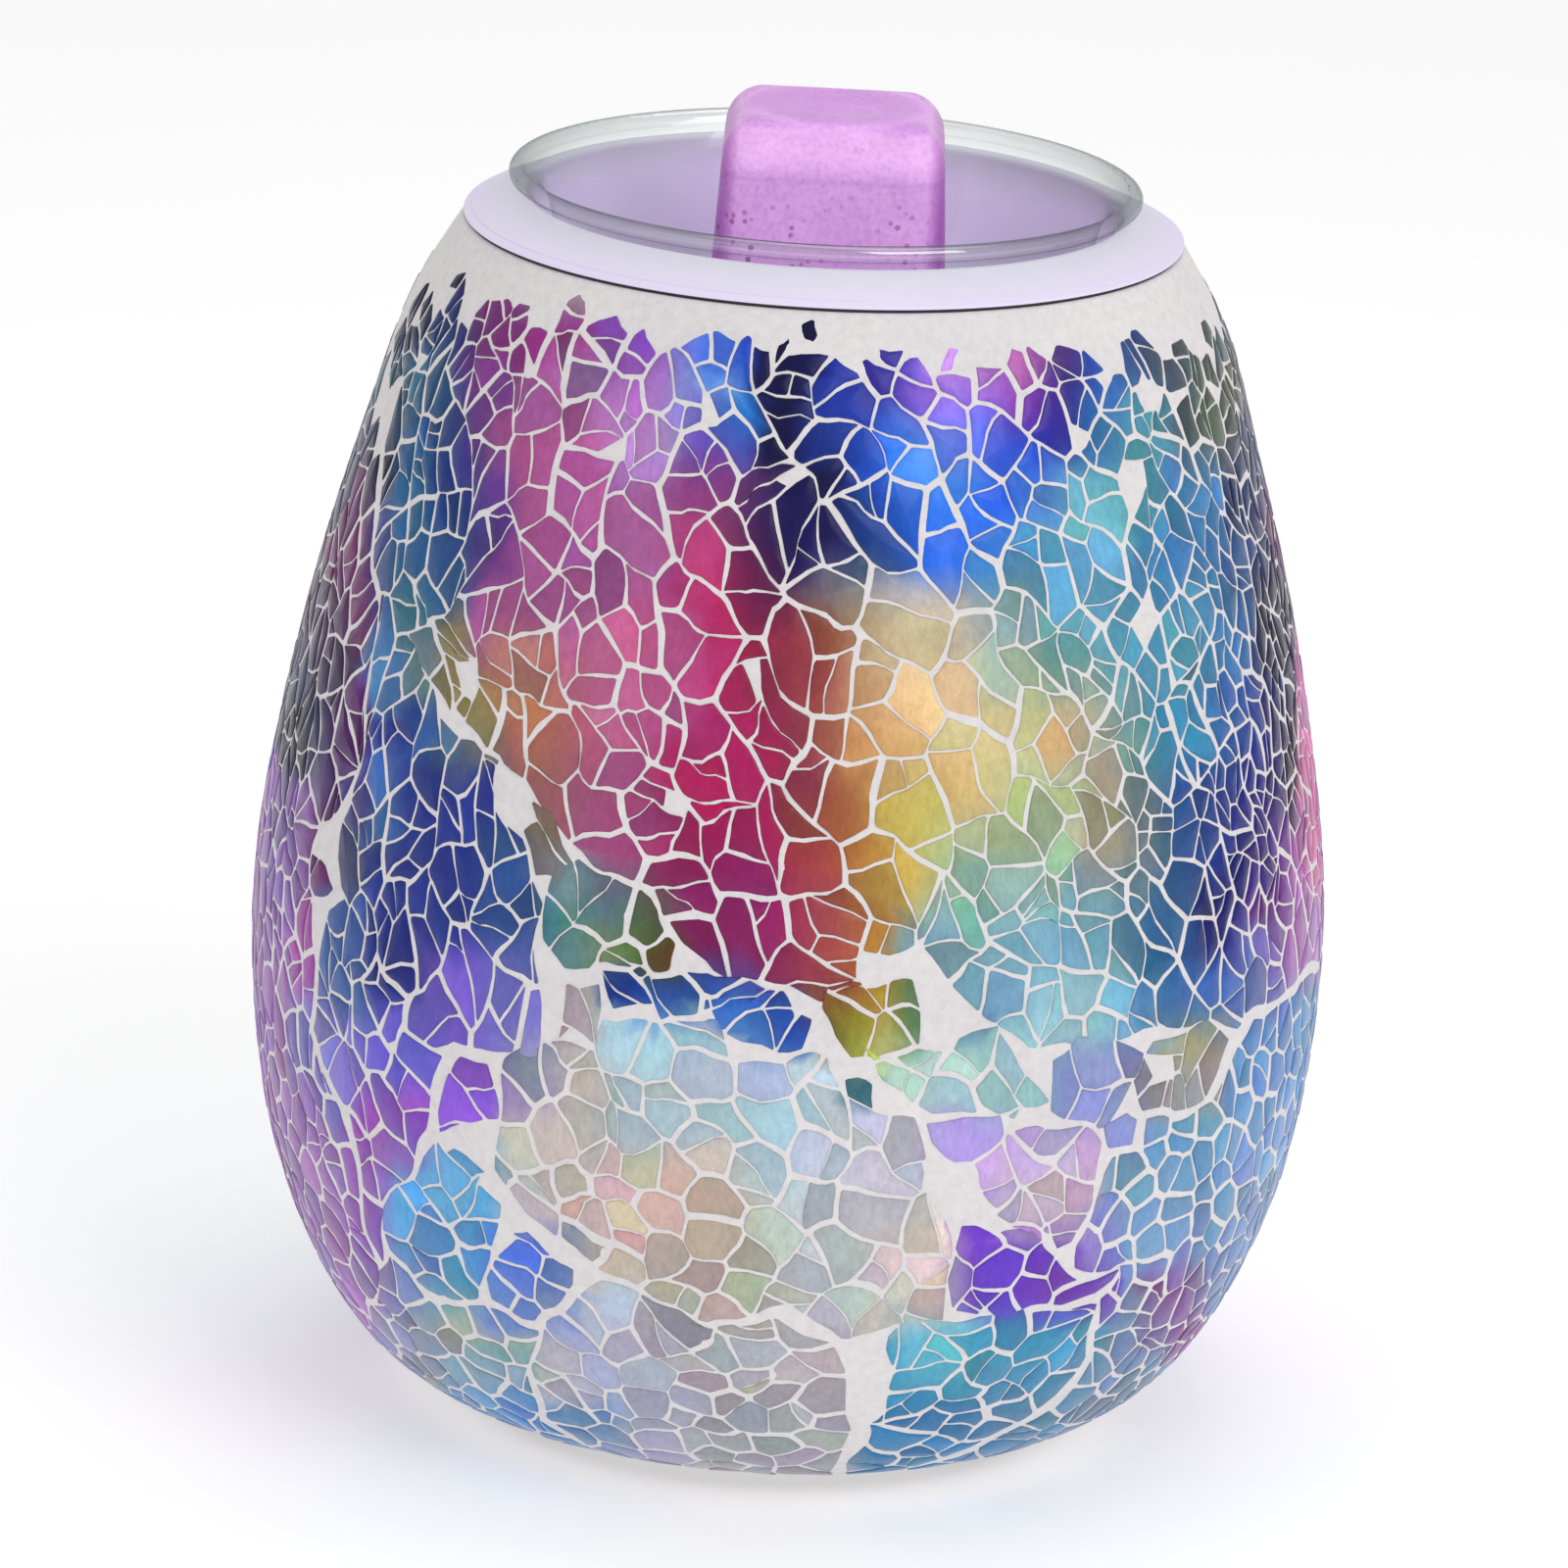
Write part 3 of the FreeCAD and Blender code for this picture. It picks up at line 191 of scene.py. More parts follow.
ZONES = [
 ([(-88.2, 133.1), (-66.6, 137.3), (-58.2, 132.0), (-71.1, 129.4)], (0, 5, 55), 1.1),
 ([(-69.6, 133.4), (-64.8, 134.3), (-61.1, 131.8), (-65.4, 131.0)], (5, 55, 115), 1.1),
 ([(-70.4, 129.0), (-60.8, 131.0), (-56.9, 126.7), (-65.3, 124.9)], (35, 95, 128), 1.1),
 ([(-61.4, 126.4), (-54.5, 127.8), (-50.9, 121.7), (-57.0, 120.4)], (10, 60, 118), 1.1),
 ([(-65.4, 118.5), (-58.8, 120.0), (-54.9, 114.0), (-60.5, 112.7)], (20, 92, 140), 1.1),
 ([(-56.3, 118.5), (-47.9, 120.2), (-45.8, 115.4), (-53.5, 113.8)], (0, 45, 120), 1.1),
 ([(-49.6, 114.6), (-44.9, 115.6), (-43.3, 111.6), (-47.7, 110.6)], (15, 60, 120), 1.1),
 ([(-61.2, 112.5), (-52.8, 114.5), (-48.9, 106.5), (-56.2, 104.8)], (35, 92, 145), 1.1),
 ([(-58.8, 105.9), (-50.1, 108.0), (-47.0, 100.4), (-54.8, 98.5)], (48, 100, 122), 1.1),
 ([(-51.0, 111.0), (-46.3, 112.0), (-43.8, 105.6), (-48.1, 104.6)], (40, 80, 130), 1.1),
 ([(-57.5, 98.9), (-51.8, 100.4), (-49.6, 94.8), (-54.9, 93.4)], (70, 120, 170), 1.1),
 ([(-87.0, 121.3), (-72.5, 124.6), (-66.7, 119.8), (-74.5, 118.0)], (30, 70, 95), 1.1),
 ([(-75.8, 117.0), (-68.6, 118.7), (-64.6, 114.8), (-70.3, 113.4)], (0, 20, 60), 1.1),
 ([(-53.7, 125.5), (-49.4, 126.4), (-45.6, 118.4), (-49.4, 117.6)], (90, 50, 130), 1.1),
 ([(-46.1, 118.3), (-41.7, 119.1), (-40.1, 115.0), (-44.4, 114.2)], (90, 50, 150), 1.1),
 ([(-45.2, 114.0), (-40.6, 114.9), (-39.5, 112.0), (-44.0, 111.1)], (70, 40, 110), 1.1),
 ([(-66.5, 135.2), (-60.7, 136.3), (-54.1, 130.7), (-59.0, 129.8)], (50, 40, 110), 1.1),
 ([(-59.8, 136.1), (-49.8, 137.8), (-44.7, 132.2), (-53.5, 130.6)], (120, 40, 120), 1.1),
 ([(-46.4, 136.9), (-37.4, 138.2), (-34.9, 134.5), (-43.3, 133.2)], (140, 40, 120), 1.1),
 ([(-47.8, 138.3), (-38.5, 139.6), (-37.6, 138.4), (-46.6, 137.1)], (150, 130, 150), 1.1),
 ([(-57.2, 129.6), (-47.4, 131.4), (-45.2, 127.7), (-54.4, 125.9)], (110, 50, 130), 1.1),
 ([(-50.6, 129.1), (-30.4, 132.3), (-23.2, 102.2), (-38.6, 99.4)], (158, 80, 140), 1.9),
 ([(-36.8, 124.3), (-30.9, 125.2), (-28.4, 115.6), (-33.9, 114.7)], (168, 84, 148), 1.4),
 ([(-33.1, 138.8), (-27.5, 139.4), (-24.4, 132.4), (-29.4, 131.8)], (130, 70, 170), 1.1),
 ([(-37.3, 134.4), (-32.2, 135.0), (-30.9, 132.3), (-35.7, 131.6)], (150, 100, 160), 1.1),
 ([(-25.9, 138.2), (-20.4, 138.7), (-19.0, 134.9), (-24.2, 134.4)], (120, 70, 180), 1.1),
 ([(-26.4, 134.4), (-21.3, 135.0), (-19.7, 129.2), (-24.4, 128.6)], (165, 115, 190), 1.4),
 ([(-28.7, 131.2), (-21.9, 132.0), (-20.7, 127.1), (-27.2, 126.3)], (180, 118, 190), 1.4),
 ([(-20.9, 131.2), (-17.3, 131.6), (-16.5, 127.3), (-19.9, 127.0)], (150, 145, 222), 1.1),
 ([(-21.3, 139.2), (-13.0, 139.9), (-11.2, 132.4), (-18.7, 131.7)], (125, 175, 240), 0.8),
 ([(-16.6, 138.3), (-10.8, 138.7), (-10.1, 135.6), (-15.6, 135.2)], (30, 70, 190), 1.1),
 ([(-16.4, 131.1), (-12.7, 131.5), (-12.1, 127.7), (-15.7, 127.4)], (100, 80, 180), 1.1),
 ([(-12.7, 131.5), (-9.4, 131.7), (-8.9, 128.0), (-12.1, 127.7)], (30, 110, 200), 1.1),
 ([(-15.4, 127.4), (-8.9, 128.0), (-8.4, 124.4), (-14.8, 123.8)], (110, 60, 160), 1.1),
 ([(-24.8, 127.2), (-19.8, 127.8), (-19.0, 123.6), (-23.8, 123.0)], (178, 130, 195), 1.1),
 ([(-22.7, 122.7), (-11.4, 123.8), (-10.3, 115.0), (-20.9, 113.8)], (165, 88, 152), 1.7),
 ([(-14.7, 123.0), (-10.2, 123.4), (-9.7, 119.0), (-14.1, 118.6)], (145, 50, 120), 1.4),
 ([(-9.0, 123.5), (-6.4, 123.7), (-5.9, 119.3), (-8.5, 119.1)], (85, 45, 105), 1.4),
 ([(-15.0, 117.9), (-9.6, 118.4), (-9.0, 112.9), (-14.2, 112.4)], (185, 50, 110), 1.7),
 ([(-8.4, 118.5), (-5.9, 118.7), (-5.4, 113.2), (-7.8, 113.0)], (80, 20, 80), 1.4),
 ([(-9.5, 114.5), (-5.5, 114.8), (-4.9, 107.1), (-8.7, 106.8)], (168, 26, 76), 1.7),
 ([(-5.4, 113.2), (-2.6, 113.4), (-2.4, 110.1), (-5.1, 109.9)], (70, 12, 62), 1.4),
 ([(-22.8, 106.2), (-13.7, 107.4), (-12.7, 98.7), (-21.4, 97.6)], (188, 100, 150), 1.9),
 ([(-27.1, 103.8), (-19.1, 105.0), (-17.8, 96.1), (-25.5, 94.9)], (184, 94, 142), 1.9),
 ([(-36.4, 101.7), (-30.7, 102.8), (-29.6, 97.5), (-35.2, 96.4)], (182, 116, 98), 1.7),
 ([(-29.6, 100.3), (-26.2, 100.9), (-25.1, 95.0), (-28.5, 94.4)], (176, 98, 100), 1.7),
 ([(-32.2, 96.4), (-28.9, 97.0), (-27.9, 91.0), (-31.0, 90.4)], (190, 120, 70), 1.7),
 ([(-51.0, 99.8), (-42.8, 101.7), (-41.2, 96.5), (-49.0, 94.6)], (130, 125, 80), 1.1),
 ([(-45.1, 96.3), (-36.1, 98.3), (-34.5, 91.0), (-43.0, 89.0)], (150, 135, 80), 1.1),
 ([(-30.0, 89.2), (-26.2, 89.9), (-25.6, 85.9), (-29.4, 85.2)], (150, 100, 90), 1.1),
 ([(-26.6, 91.9), (-17.5, 93.4), (-16.4, 84.0), (-25.2, 82.5)], (160, 84, 124), 1.9),
 ([(-20.2, 86.4), (-12.3, 87.5), (-11.6, 79.1), (-19.2, 78.0)], (150, 54, 112), 1.9),
 ([(-19.3, 106.7), (0.7, 108.5), (2.1, 77.4), (-15.6, 75.7)], (172, 26, 92), 1.9),
 ([(-12.4, 88.6), (-8.3, 89.0), (-7.9, 82.9), (-11.9, 82.5)], (155, 8, 76), 1.4),
 ([(-11.5, 83.2), (-5.3, 83.8), (-4.9, 77.0), (-11.0, 76.3)], (134, 22, 98), 1.4),
 ([(-13.2, 78.6), (-1.1, 79.7), (-0.6, 70.3), (-12.5, 69.2)], (112, 16, 84), 1.4),
 ([(-4.8, 81.2), (4.6, 81.7), (4.9, 72.3), (-4.3, 71.8)], (142, 34, 100), 1.4),
 ([(-4.8, 110.7), (1.0, 111.1), (1.4, 102.8), (-4.2, 102.4)], (112, 38, 54), 1.7),
 ([(0.5, 111.0), (6.7, 111.2), (7.0, 98.0), (1.2, 97.8)], (155, 90, 55), 1.7),
 ([(2.9, 101.2), (7.0, 101.4), (7.1, 94.5), (3.2, 94.4)], (180, 128, 88), 1.7),
 ([(1.0, 89.7), (6.3, 89.8), (6.5, 85.1), (1.2, 84.9)], (145, 65, 48), 1.7),
 ([(3.5, 84.3), (7.4, 84.4), (7.7, 74.1), (3.9, 74.0)], (172, 112, 50), 1.7),
 ([(3.1, 72.2), (6.8, 72.3), (7.0, 68.8), (3.2, 68.7)], (155, 80, 45), 1.1),
 ([(2.8, 70.8), (5.6, 70.9), (5.7, 67.5), (3.0, 67.4)], (120, 40, 40), 1.1),
 ([(4.8, 68.8), (6.7, 68.8), (6.9, 61.8), (5.1, 61.8)], (100, 90, 30), 0.9),
 ([(6.7, 68.8), (8.1, 68.8), (8.3, 61.8), (6.9, 61.8)], (170, 160, 40), 0.9),
 ([(0.8, 81.5), (3.9, 81.7), (4.2, 73.6), (1.2, 73.5)], (142, 52, 66), 1.4),
 ([(-0.2, 102.7), (3.1, 102.8), (3.5, 92.3), (0.3, 92.2)], (140, 48, 66), 1.4),
 ([(9.1, 110.2), (25.9, 109.7), (25.0, 94.0), (9.3, 94.5)], (226, 205, 146), 2.6),
 ([(7.4, 112.8), (27.7, 112.2), (27.3, 107.5), (7.5, 108.1)], (200, 185, 150), 1.9),
 ([(6.9, 106.5), (12.4, 106.5), (12.4, 100.2), (7.0, 100.2)], (210, 180, 140), 1.9),
 ([(7.8, 93.3), (15.1, 93.2), (15.1, 81.9), (8.1, 82.0)], (196, 165, 75), 2.1),
 ([(5.9, 100.2), (12.0, 100.2), (12.0, 93.9), (6.1, 93.9)], (215, 155, 100), 1.9),
 ([(27.8, 102.3), (34.7, 101.7), (34.0, 95.3), (27.4, 96.0)], (208, 180, 125), 1.9),
 ([(15.1, 93.8), (22.6, 93.5), (22.4, 86.5), (15.1, 86.8)], (198, 192, 122), 1.9),
 ([(22.6, 93.5), (30.4, 92.8), (30.0, 85.8), (22.4, 86.5)], (176, 188, 142), 1.9),
 ([(16.1, 87.9), (29.3, 86.9), (29.0, 78.7), (16.1, 79.7)], (140, 178, 150), 1.9),
 ([(16.1, 82.5), (26.0, 81.9), (25.8, 72.8), (16.2, 73.5)], (130, 170, 172), 1.9),
 ([(20.8, 77.9), (33.6, 76.6), (33.5, 67.4), (20.8, 68.9)], (110, 165, 185), 1.7),
 ([(13.7, 75.1), (24.4, 74.5), (24.4, 67.1), (13.8, 67.8)], (100, 135, 160), 1.2),
 ([(17.9, 70.9), (33.5, 69.3), (33.6, 61.1), (18.1, 62.8)], (145, 190, 200), 1.2),
 ([(34.7, 68.0), (43.5, 66.4), (43.7, 60.3), (34.8, 62.0)], (120, 170, 205), 1.2),
 ([(39.5, 72.8), (44.6, 71.8), (44.5, 62.4), (39.5, 63.5)], (20, 90, 135), 1.1),
 ([(44.4, 68.2), (49.0, 67.1), (49.1, 61.7), (44.5, 62.8)], (50, 110, 190), 1.1),
 ([(8.1, 71.2), (11.3, 71.1), (11.6, 63.0), (8.4, 63.1)], (178, 150, 50), 1.1),
 ([(11.8, 71.1), (13.4, 71.1), (13.7, 63.0), (12.1, 63.0)], (70, 120, 70), 1.1),
 ([(3.5, 71.8), (7.4, 71.9), (7.4, 69.3), (3.6, 69.2)], (150, 70, 50), 1.1),
 ([(7.1, 63.8), (10.0, 63.8), (10.2, 60.4), (7.2, 60.4)], (190, 215, 110), 0.7),
 ([(10.3, 63.8), (15.1, 63.7), (15.4, 57.3), (10.6, 57.5)], (178, 215, 192), 1.1),
 ([(15.1, 63.0), (20.9, 62.7), (21.2, 56.9), (15.4, 57.3)], (170, 210, 208), 1.1),
 ([(20.9, 62.7), (28.0, 62.0), (28.4, 53.8), (21.3, 54.6)], (150, 190, 200), 1.1),
 ([(15.9, 66.4), (21.2, 66.1), (21.2, 63.1), (16.0, 63.5)], (70, 110, 160), 0.6),
 ([(6.4, 59.5), (10.0, 59.5), (10.2, 56.5), (6.6, 56.5)], (30, 90, 110), 0.4),
 ([(23.6, 113.0), (38.7, 111.7), (37.1, 101.3), (23.0, 102.6)], (98, 152, 165), 2.1),
 ([(38.7, 111.7), (57.0, 108.9), (52.7, 93.4), (36.5, 96.1)], (72, 140, 168), 2.1),
 ([(30.9, 108.0), (36.2, 107.4), (35.5, 101.6), (30.3, 102.1)], (92, 150, 155), 1.7),
 ([(34.4, 99.1), (40.4, 98.4), (39.8, 93.8), (34.0, 94.6)], (150, 155, 140), 1.7),
 ([(34.8, 95.2), (42.3, 94.2), (40.9, 79.2), (33.8, 80.3)], (155, 150, 120), 1.7),
 ([(39.9, 98.1), (45.3, 97.3), (44.5, 92.0), (39.3, 92.8)], (50, 140, 160), 1.2),
 ([(44.3, 97.4), (53.2, 95.8), (52.0, 89.4), (43.5, 91.0)], (40, 130, 180), 1.2),
 ([(40.0, 91.6), (44.7, 90.8), (43.4, 78.8), (39.0, 79.5)], (70, 105, 135), 1.4),
 ([(45.4, 90.7), (52.5, 89.3), (50.8, 77.2), (44.1, 78.6)], (30, 75, 138), 1.4),
 ([(38.2, 79.7), (47.6, 77.9), (47.1, 70.5), (37.8, 72.3)], (40, 90, 140), 1.4),
 ([(50.8, 89.7), (57.5, 88.2), (56.2, 81.2), (49.8, 82.6)], (30, 45, 130), 1.1),
 ([(48.8, 78.3), (55.0, 76.9), (54.1, 67.0), (48.1, 68.5)], (0, 5, 95), 1.1),
 ([(57.2, 98.6), (64.9, 96.9), (62.6, 90.1), (55.5, 91.7)], (40, 95, 170), 1.1),
 ([(61.4, 97.1), (72.0, 94.5), (66.6, 80.7), (57.9, 83.0)], (20, 20, 130), 1.1),
 ([(68.6, 106.5), (90.2, 101.1), (74.0, 90.1), (62.7, 93.0)], (0, 0, 50), 1.1),
 ([(67.2, 91.9), (75.3, 89.7), (70.6, 79.6), (64.0, 81.4)], (35, 0, 50), 1.1),
 ([(59.7, 84.3), (68.0, 82.2), (65.3, 69.6), (57.7, 71.7)], (85, 20, 115), 1.1),
 ([(64.0, 81.4), (74.4, 78.5), (71.6, 59.8), (61.8, 62.9)], (135, 58, 145), 1.1),
 ([(67.5, 72.9), (76.0, 70.3), (75.9, 58.3), (66.8, 61.4)], (175, 120, 190), 1.1),
 ([(54.3, 70.8), (65.1, 67.8), (65.5, 57.9), (54.2, 61.2)], (105, 95, 172), 1.1),
 ([(49.0, 68.6), (56.6, 66.7), (57.0, 57.7), (49.2, 59.8)], (45, 95, 165), 1.1),
 ([(52.9, 65.4), (74.3, 58.9), (83.1, 40.8), (54.2, 50.6)], (75, 132, 185), 1.1),
 ([(31.6, 80.4), (39.2, 79.3), (38.8, 70.5), (31.3, 71.6)], (110, 150, 165), 1.7),
 ([(58.6, 113.0), (69.3, 110.8), (62.4, 96.7), (53.9, 98.6)], (50, 110, 165), 1.7),
 ([(72.1, 124.8), (90.6, 120.9), (71.7, 105.8), (61.5, 108.0)], (20, 35, 85), 1.4),
 ([(54.8, 98.4), (61.2, 97.0), (58.6, 87.5), (52.8, 88.8)], (35, 85, 152), 1.4),
 ([(58.3, 91.0), (66.7, 88.9), (63.0, 73.9), (55.6, 75.9)], (0, 0, 110), 1.2),
 ([(82.3, 97.4), (89.6, 95.5), (78.7, 69.1), (68.4, 72.4)], (190, 90, 150), 0.9),
 ([(88.6, 132.8), (92.7, 132.2), (90.8, 116.2), (67.3, 121.2)], (80, 80, 95), 0.9),
 ([(-8.1, 139.5), (7.4, 140.1), (7.4, 118.1), (-5.3, 117.6)], (2, 2, 60), 1.4),
 ([(-0.4, 130.7), (6.2, 130.9), (6.3, 127.1), (-0.1, 126.9)], (15, 50, 140), 1.1),
 ([(0.2, 133.7), (4.7, 133.9), (4.8, 130.9), (0.4, 130.7)], (30, 60, 160), 1.1),
 ([(3.6, 136.9), (13.4, 137.0), (12.9, 129.9), (3.8, 129.8)], (50, 70, 210), 1.4),
 ([(7.4, 138.3), (13.6, 138.3), (13.0, 133.1), (7.2, 133.1)], (60, 30, 130), 0.9),
 ([(15.2, 138.3), (26.0, 138.0), (24.8, 133.6), (14.6, 133.8)], (200, 140, 235), 1.2),
 ([(14.6, 133.8), (24.8, 133.6), (24.4, 131.5), (14.4, 131.7)], (150, 100, 230), 0.9),
 ([(18.1, 132.6), (25.0, 132.4), (24.2, 126.9), (17.6, 127.1)], (120, 100, 230), 1.2),
 ([(13.1, 133.9), (16.8, 133.9), (16.5, 130.1), (12.9, 130.1)], (120, 70, 200), 0.9),
 ([(15.0, 130.4), (21.5, 130.3), (21.1, 124.9), (14.8, 125.0)], (90, 130, 240), 1.4),
 ([(6.9, 129.6), (11.4, 129.6), (11.3, 120.3), (7.0, 120.2)], (30, 100, 230), 1.7),
 ([(11.4, 129.6), (16.4, 129.6), (16.2, 124.4), (11.3, 124.4)], (70, 150, 240), 1.7),
 ([(17.6, 126.6), (27.1, 126.2), (26.2, 116.8), (17.2, 117.2)], (50, 130, 235), 1.9),
 ([(11.7, 123.9), (22.1, 123.7), (21.4, 114.2), (11.7, 114.5)], (40, 110, 230), 1.9),
 ([(5.8, 122.2), (11.1, 122.2), (11.1, 115.0), (6.0, 114.9)], (5, 50, 115), 1.4),
 ([(24.1, 129.7), (32.3, 129.2), (31.2, 121.5), (23.4, 121.9)], (20, 60, 200), 1.4),
 ([(-5.6, 121.1), (3.8, 121.5), (4.1, 113.8), (-4.9, 113.3)], (20, 10, 82), 1.4),
 ([(2.4, 115.8), (10.1, 115.9), (10.1, 112.5), (2.6, 112.4)], (115, 120, 138), 1.4),
 ([(21.7, 117.9), (31.5, 117.2), (30.4, 108.3), (21.1, 108.9)], (60, 140, 200), 1.7),
 ([(28.5, 124.5), (36.3, 123.9), (35.1, 116.3), (27.7, 116.9)], (105, 165, 205), 1.4),
 ([(33.3, 125.5), (42.8, 124.6), (41.2, 117.1), (32.3, 118.0)], (100, 180, 200), 1.4),
 ([(31.4, 116.4), (38.3, 115.7), (36.9, 106.8), (30.3, 107.5)], (98, 172, 205), 1.7),
 ([(43.1, 127.9), (52.1, 126.8), (49.3, 117.9), (41.1, 119.0)], (70, 140, 150), 1.2),
 ([(51.1, 123.9), (64.3, 121.8), (58.0, 108.7), (47.3, 110.5)], (55, 120, 170), 1.7),
 ([(32.9, 131.9), (37.2, 131.6), (35.9, 126.1), (31.8, 126.4)], (30, 30, 140), 1.1),
 ([(37.6, 131.2), (44.0, 130.6), (42.3, 124.9), (36.3, 125.5)], (40, 100, 170), 1.1),
 ([(24.4, 136.8), (28.6, 136.6), (27.6, 133.5), (23.6, 133.7)], (155, 85, 170), 1.1),
 ([(28.7, 137.1), (33.9, 136.8), (33.1, 134.8), (28.1, 135.1)], (180, 100, 190), 1.1),
 ([(26.3, 134.7), (32.1, 134.4), (30.9, 129.8), (25.3, 130.1)], (125, 55, 165), 1.1),
 ([(32.1, 134.4), (36.3, 134.1), (35.0, 130.0), (31.0, 130.3)], (90, 40, 140), 1.1),
 ([(34.0, 138.2), (38.2, 137.9), (37.0, 135.6), (33.0, 135.9)], (120, 60, 120), 1.1),
 ([(36.5, 137.4), (42.1, 137.0), (40.4, 133.9), (35.1, 134.4)], (40, 40, 130), 1.1),
 ([(41.2, 136.1), (47.2, 135.5), (45.3, 132.4), (39.7, 133.0)], (40, 90, 170), 1.1),
 ([(48.5, 135.9), (53.5, 135.3), (51.8, 133.0), (47.0, 133.6)], (45, 70, 120), 1.1),
 ([(56.0, 135.5), (60.4, 134.9), (56.5, 130.4), (52.5, 131.0)], (60, 70, 85), 1.1),
 ([(44.4, 133.6), (56.4, 132.1), (53.7, 127.4), (42.4, 128.8)], (70, 140, 170), 1.1),
 ([(62.1, 135.1), (78.0, 132.5), (65.7, 121.5), (54.5, 123.4)], (70, 85, 90), 1.2),
 ([(66.1, 131.3), (82.8, 128.2), (73.2, 122.3), (61.2, 124.5)], (80, 90, 60), 0.9),
 ([(4.9, 139.3), (10.0, 139.3), (10.0, 138.5), (4.9, 138.4)], (130, 120, 150), 0.6),
 ([(-53.7, 87.7), (-28.3, 93.6), (-25.2, 71.8), (-47.9, 65.9)], (30, 48, 138), 1.7),
 ([(-52.8, 85.1), (-49.6, 86.0), (-47.5, 78.6), (-50.5, 77.7)], (50, 100, 170), 1.1),
 ([(-46.1, 90.8), (-41.4, 92.0), (-40.8, 89.6), (-45.4, 88.4)], (40, 110, 170), 1.1),
 ([(-48.0, 93.1), (-44.4, 94.0), (-43.5, 90.7), (-47.0, 89.8)], (30, 50, 130), 1.1),
 ([(-56.5, 97.5), (-46.9, 99.9), (-45.0, 94.2), (-54.1, 91.9)], (60, 120, 170), 1.1),
 ([(-48.1, 66.8), (-42.1, 68.6), (-41.3, 61.9), (-47.3, 60.1)], (5, 25, 112), 1.1),
 ([(-33.5, 81.0), (-27.0, 82.4), (-25.6, 71.7), (-31.9, 70.3)], (40, 80, 130), 1.4),
 ([(-39.8, 65.4), (-25.7, 68.9), (-24.7, 53.7), (-39.0, 49.9)], (112, 85, 190), 1.7),
 ([(-31.3, 69.2), (-25.8, 70.4), (-25.0, 59.9), (-30.4, 58.6)], (100, 112, 180), 1.4),
 ([(-36.1, 54.9), (-30.3, 56.4), (-30.2, 52.4), (-36.0, 50.8)], (130, 80, 200), 1.1),
 ([(-57.6, 82.5), (-50.2, 84.6), (-48.3, 78.0), (-55.3, 76.0)], (62, 98, 148), 1.1),
 ([(-56.2, 75.7), (-53.5, 76.5), (-52.3, 72.2), (-54.9, 71.4)], (65, 75, 112), 1.1),
 ([(-58.0, 67.1), (-49.9, 69.7), (-48.4, 58.3), (-56.5, 55.6)], (55, 90, 150), 1.1),
 ([(-57.0, 52.3), (-45.6, 56.2), (-45.5, 47.9), (-57.5, 43.7)], (120, 110, 200), 1.1),
 ([(-47.2, 59.2), (-38.7, 61.8), (-38.2, 51.4), (-46.9, 48.6)], (90, 80, 190), 1.4),
 ([(-49.1, 47.1), (-38.2, 50.5), (-38.4, 42.4), (-49.9, 38.6)], (150, 70, 180), 1.1),
 ([(-50.8, 38.3), (-45.2, 40.2), (-47.6, 27.6), (-54.7, 25.1)], (140, 80, 180), 1.1),
 ([(-90.9, 109.2), (-72.0, 114.0), (-59.2, 99.0), (-65.9, 97.2)], (100, 25, 90), 1.1),
 ([(-67.2, 110.6), (-62.9, 111.7), (-55.6, 100.0), (-58.8, 99.2)], (60, 70, 130), 0.8),
 ([(-89.4, 85.4), (-65.9, 92.6), (-60.0, 81.7), (-73.8, 77.3)], (35, 40, 80), 1.1),
 ([(-82.2, 82.9), (-72.1, 86.1), (-67.8, 80.4), (-74.7, 78.2)], (0, 0, 20), 0.7),
 ([(-64.4, 87.9), (-56.7, 90.1), (-52.6, 78.8), (-59.2, 76.8)], (75, 10, 90), 1.1),
 ([(-62.0, 74.7), (-56.8, 76.4), (-55.7, 72.7), (-60.7, 71.1)], (100, 30, 100), 1.1),
 ([(-88.2, 71.2), (-61.8, 80.0), (-74.1, 14.9), (-73.9, 15.3)], (140, 90, 165), 1.7),
 ([(-63.9, 64.2), (-59.2, 65.8), (-58.0, 56.8), (-62.7, 55.1)], (160, 70, 160), 0.8),
 ([(-82.5, 97.1), (-69.0, 101.0), (-62.2, 91.4), (-70.3, 89.0)], (55, 25, 70), 1.1),
 ([(-78.2, 72.2), (-68.4, 75.6), (-63.9, 64.2), (-71.6, 61.4)], (112, 75, 155), 1.2),
 ([(-58.2, 33.6), (-49.6, 36.8), (-58.4, 16.8), (-71.6, 12.1)], (150, 105, 172), 1.4),
 ([(-77.7, 119.6), (-71.2, 121.1), (-65.1, 115.7), (-69.6, 114.6)], (0, 20, 50), 0.7),
 ([(-62.7, 55.1), (-55.0, 57.8), (-54.9, 47.1), (-63.2, 44.0)], (120, 110, 185), 1.2),
 ([(-66.4, 42.8), (-58.2, 45.9), (-61.0, 32.6), (-79.0, 25.6)], (145, 100, 170), 1.2),
 ([(-26.8, 80.8), (-21.8, 81.7), (-21.3, 77.4), (-26.2, 76.5)], (120, 160, 165), 0.9),
 ([(-21.6, 80.7), (-16.3, 81.5), (-15.8, 76.7), (-21.1, 75.8)], (70, 130, 120), 0.9),
 ([(-17.0, 78.1), (-12.8, 78.7), (-12.4, 73.9), (-16.5, 73.3)], (60, 120, 60), 0.9),
 ([(-15.0, 74.1), (-11.0, 74.6), (-10.7, 70.3), (-14.7, 69.7)], (70, 80, 5), 0.7),
 ([(-25.9, 74.9), (-21.1, 75.8), (-20.4, 69.3), (-25.2, 68.4)], (80, 140, 120), 0.9),
 ([(-20.9, 73.7), (-15.6, 74.5), (-15.3, 70.7), (-20.5, 69.9)], (110, 130, 80), 0.9),
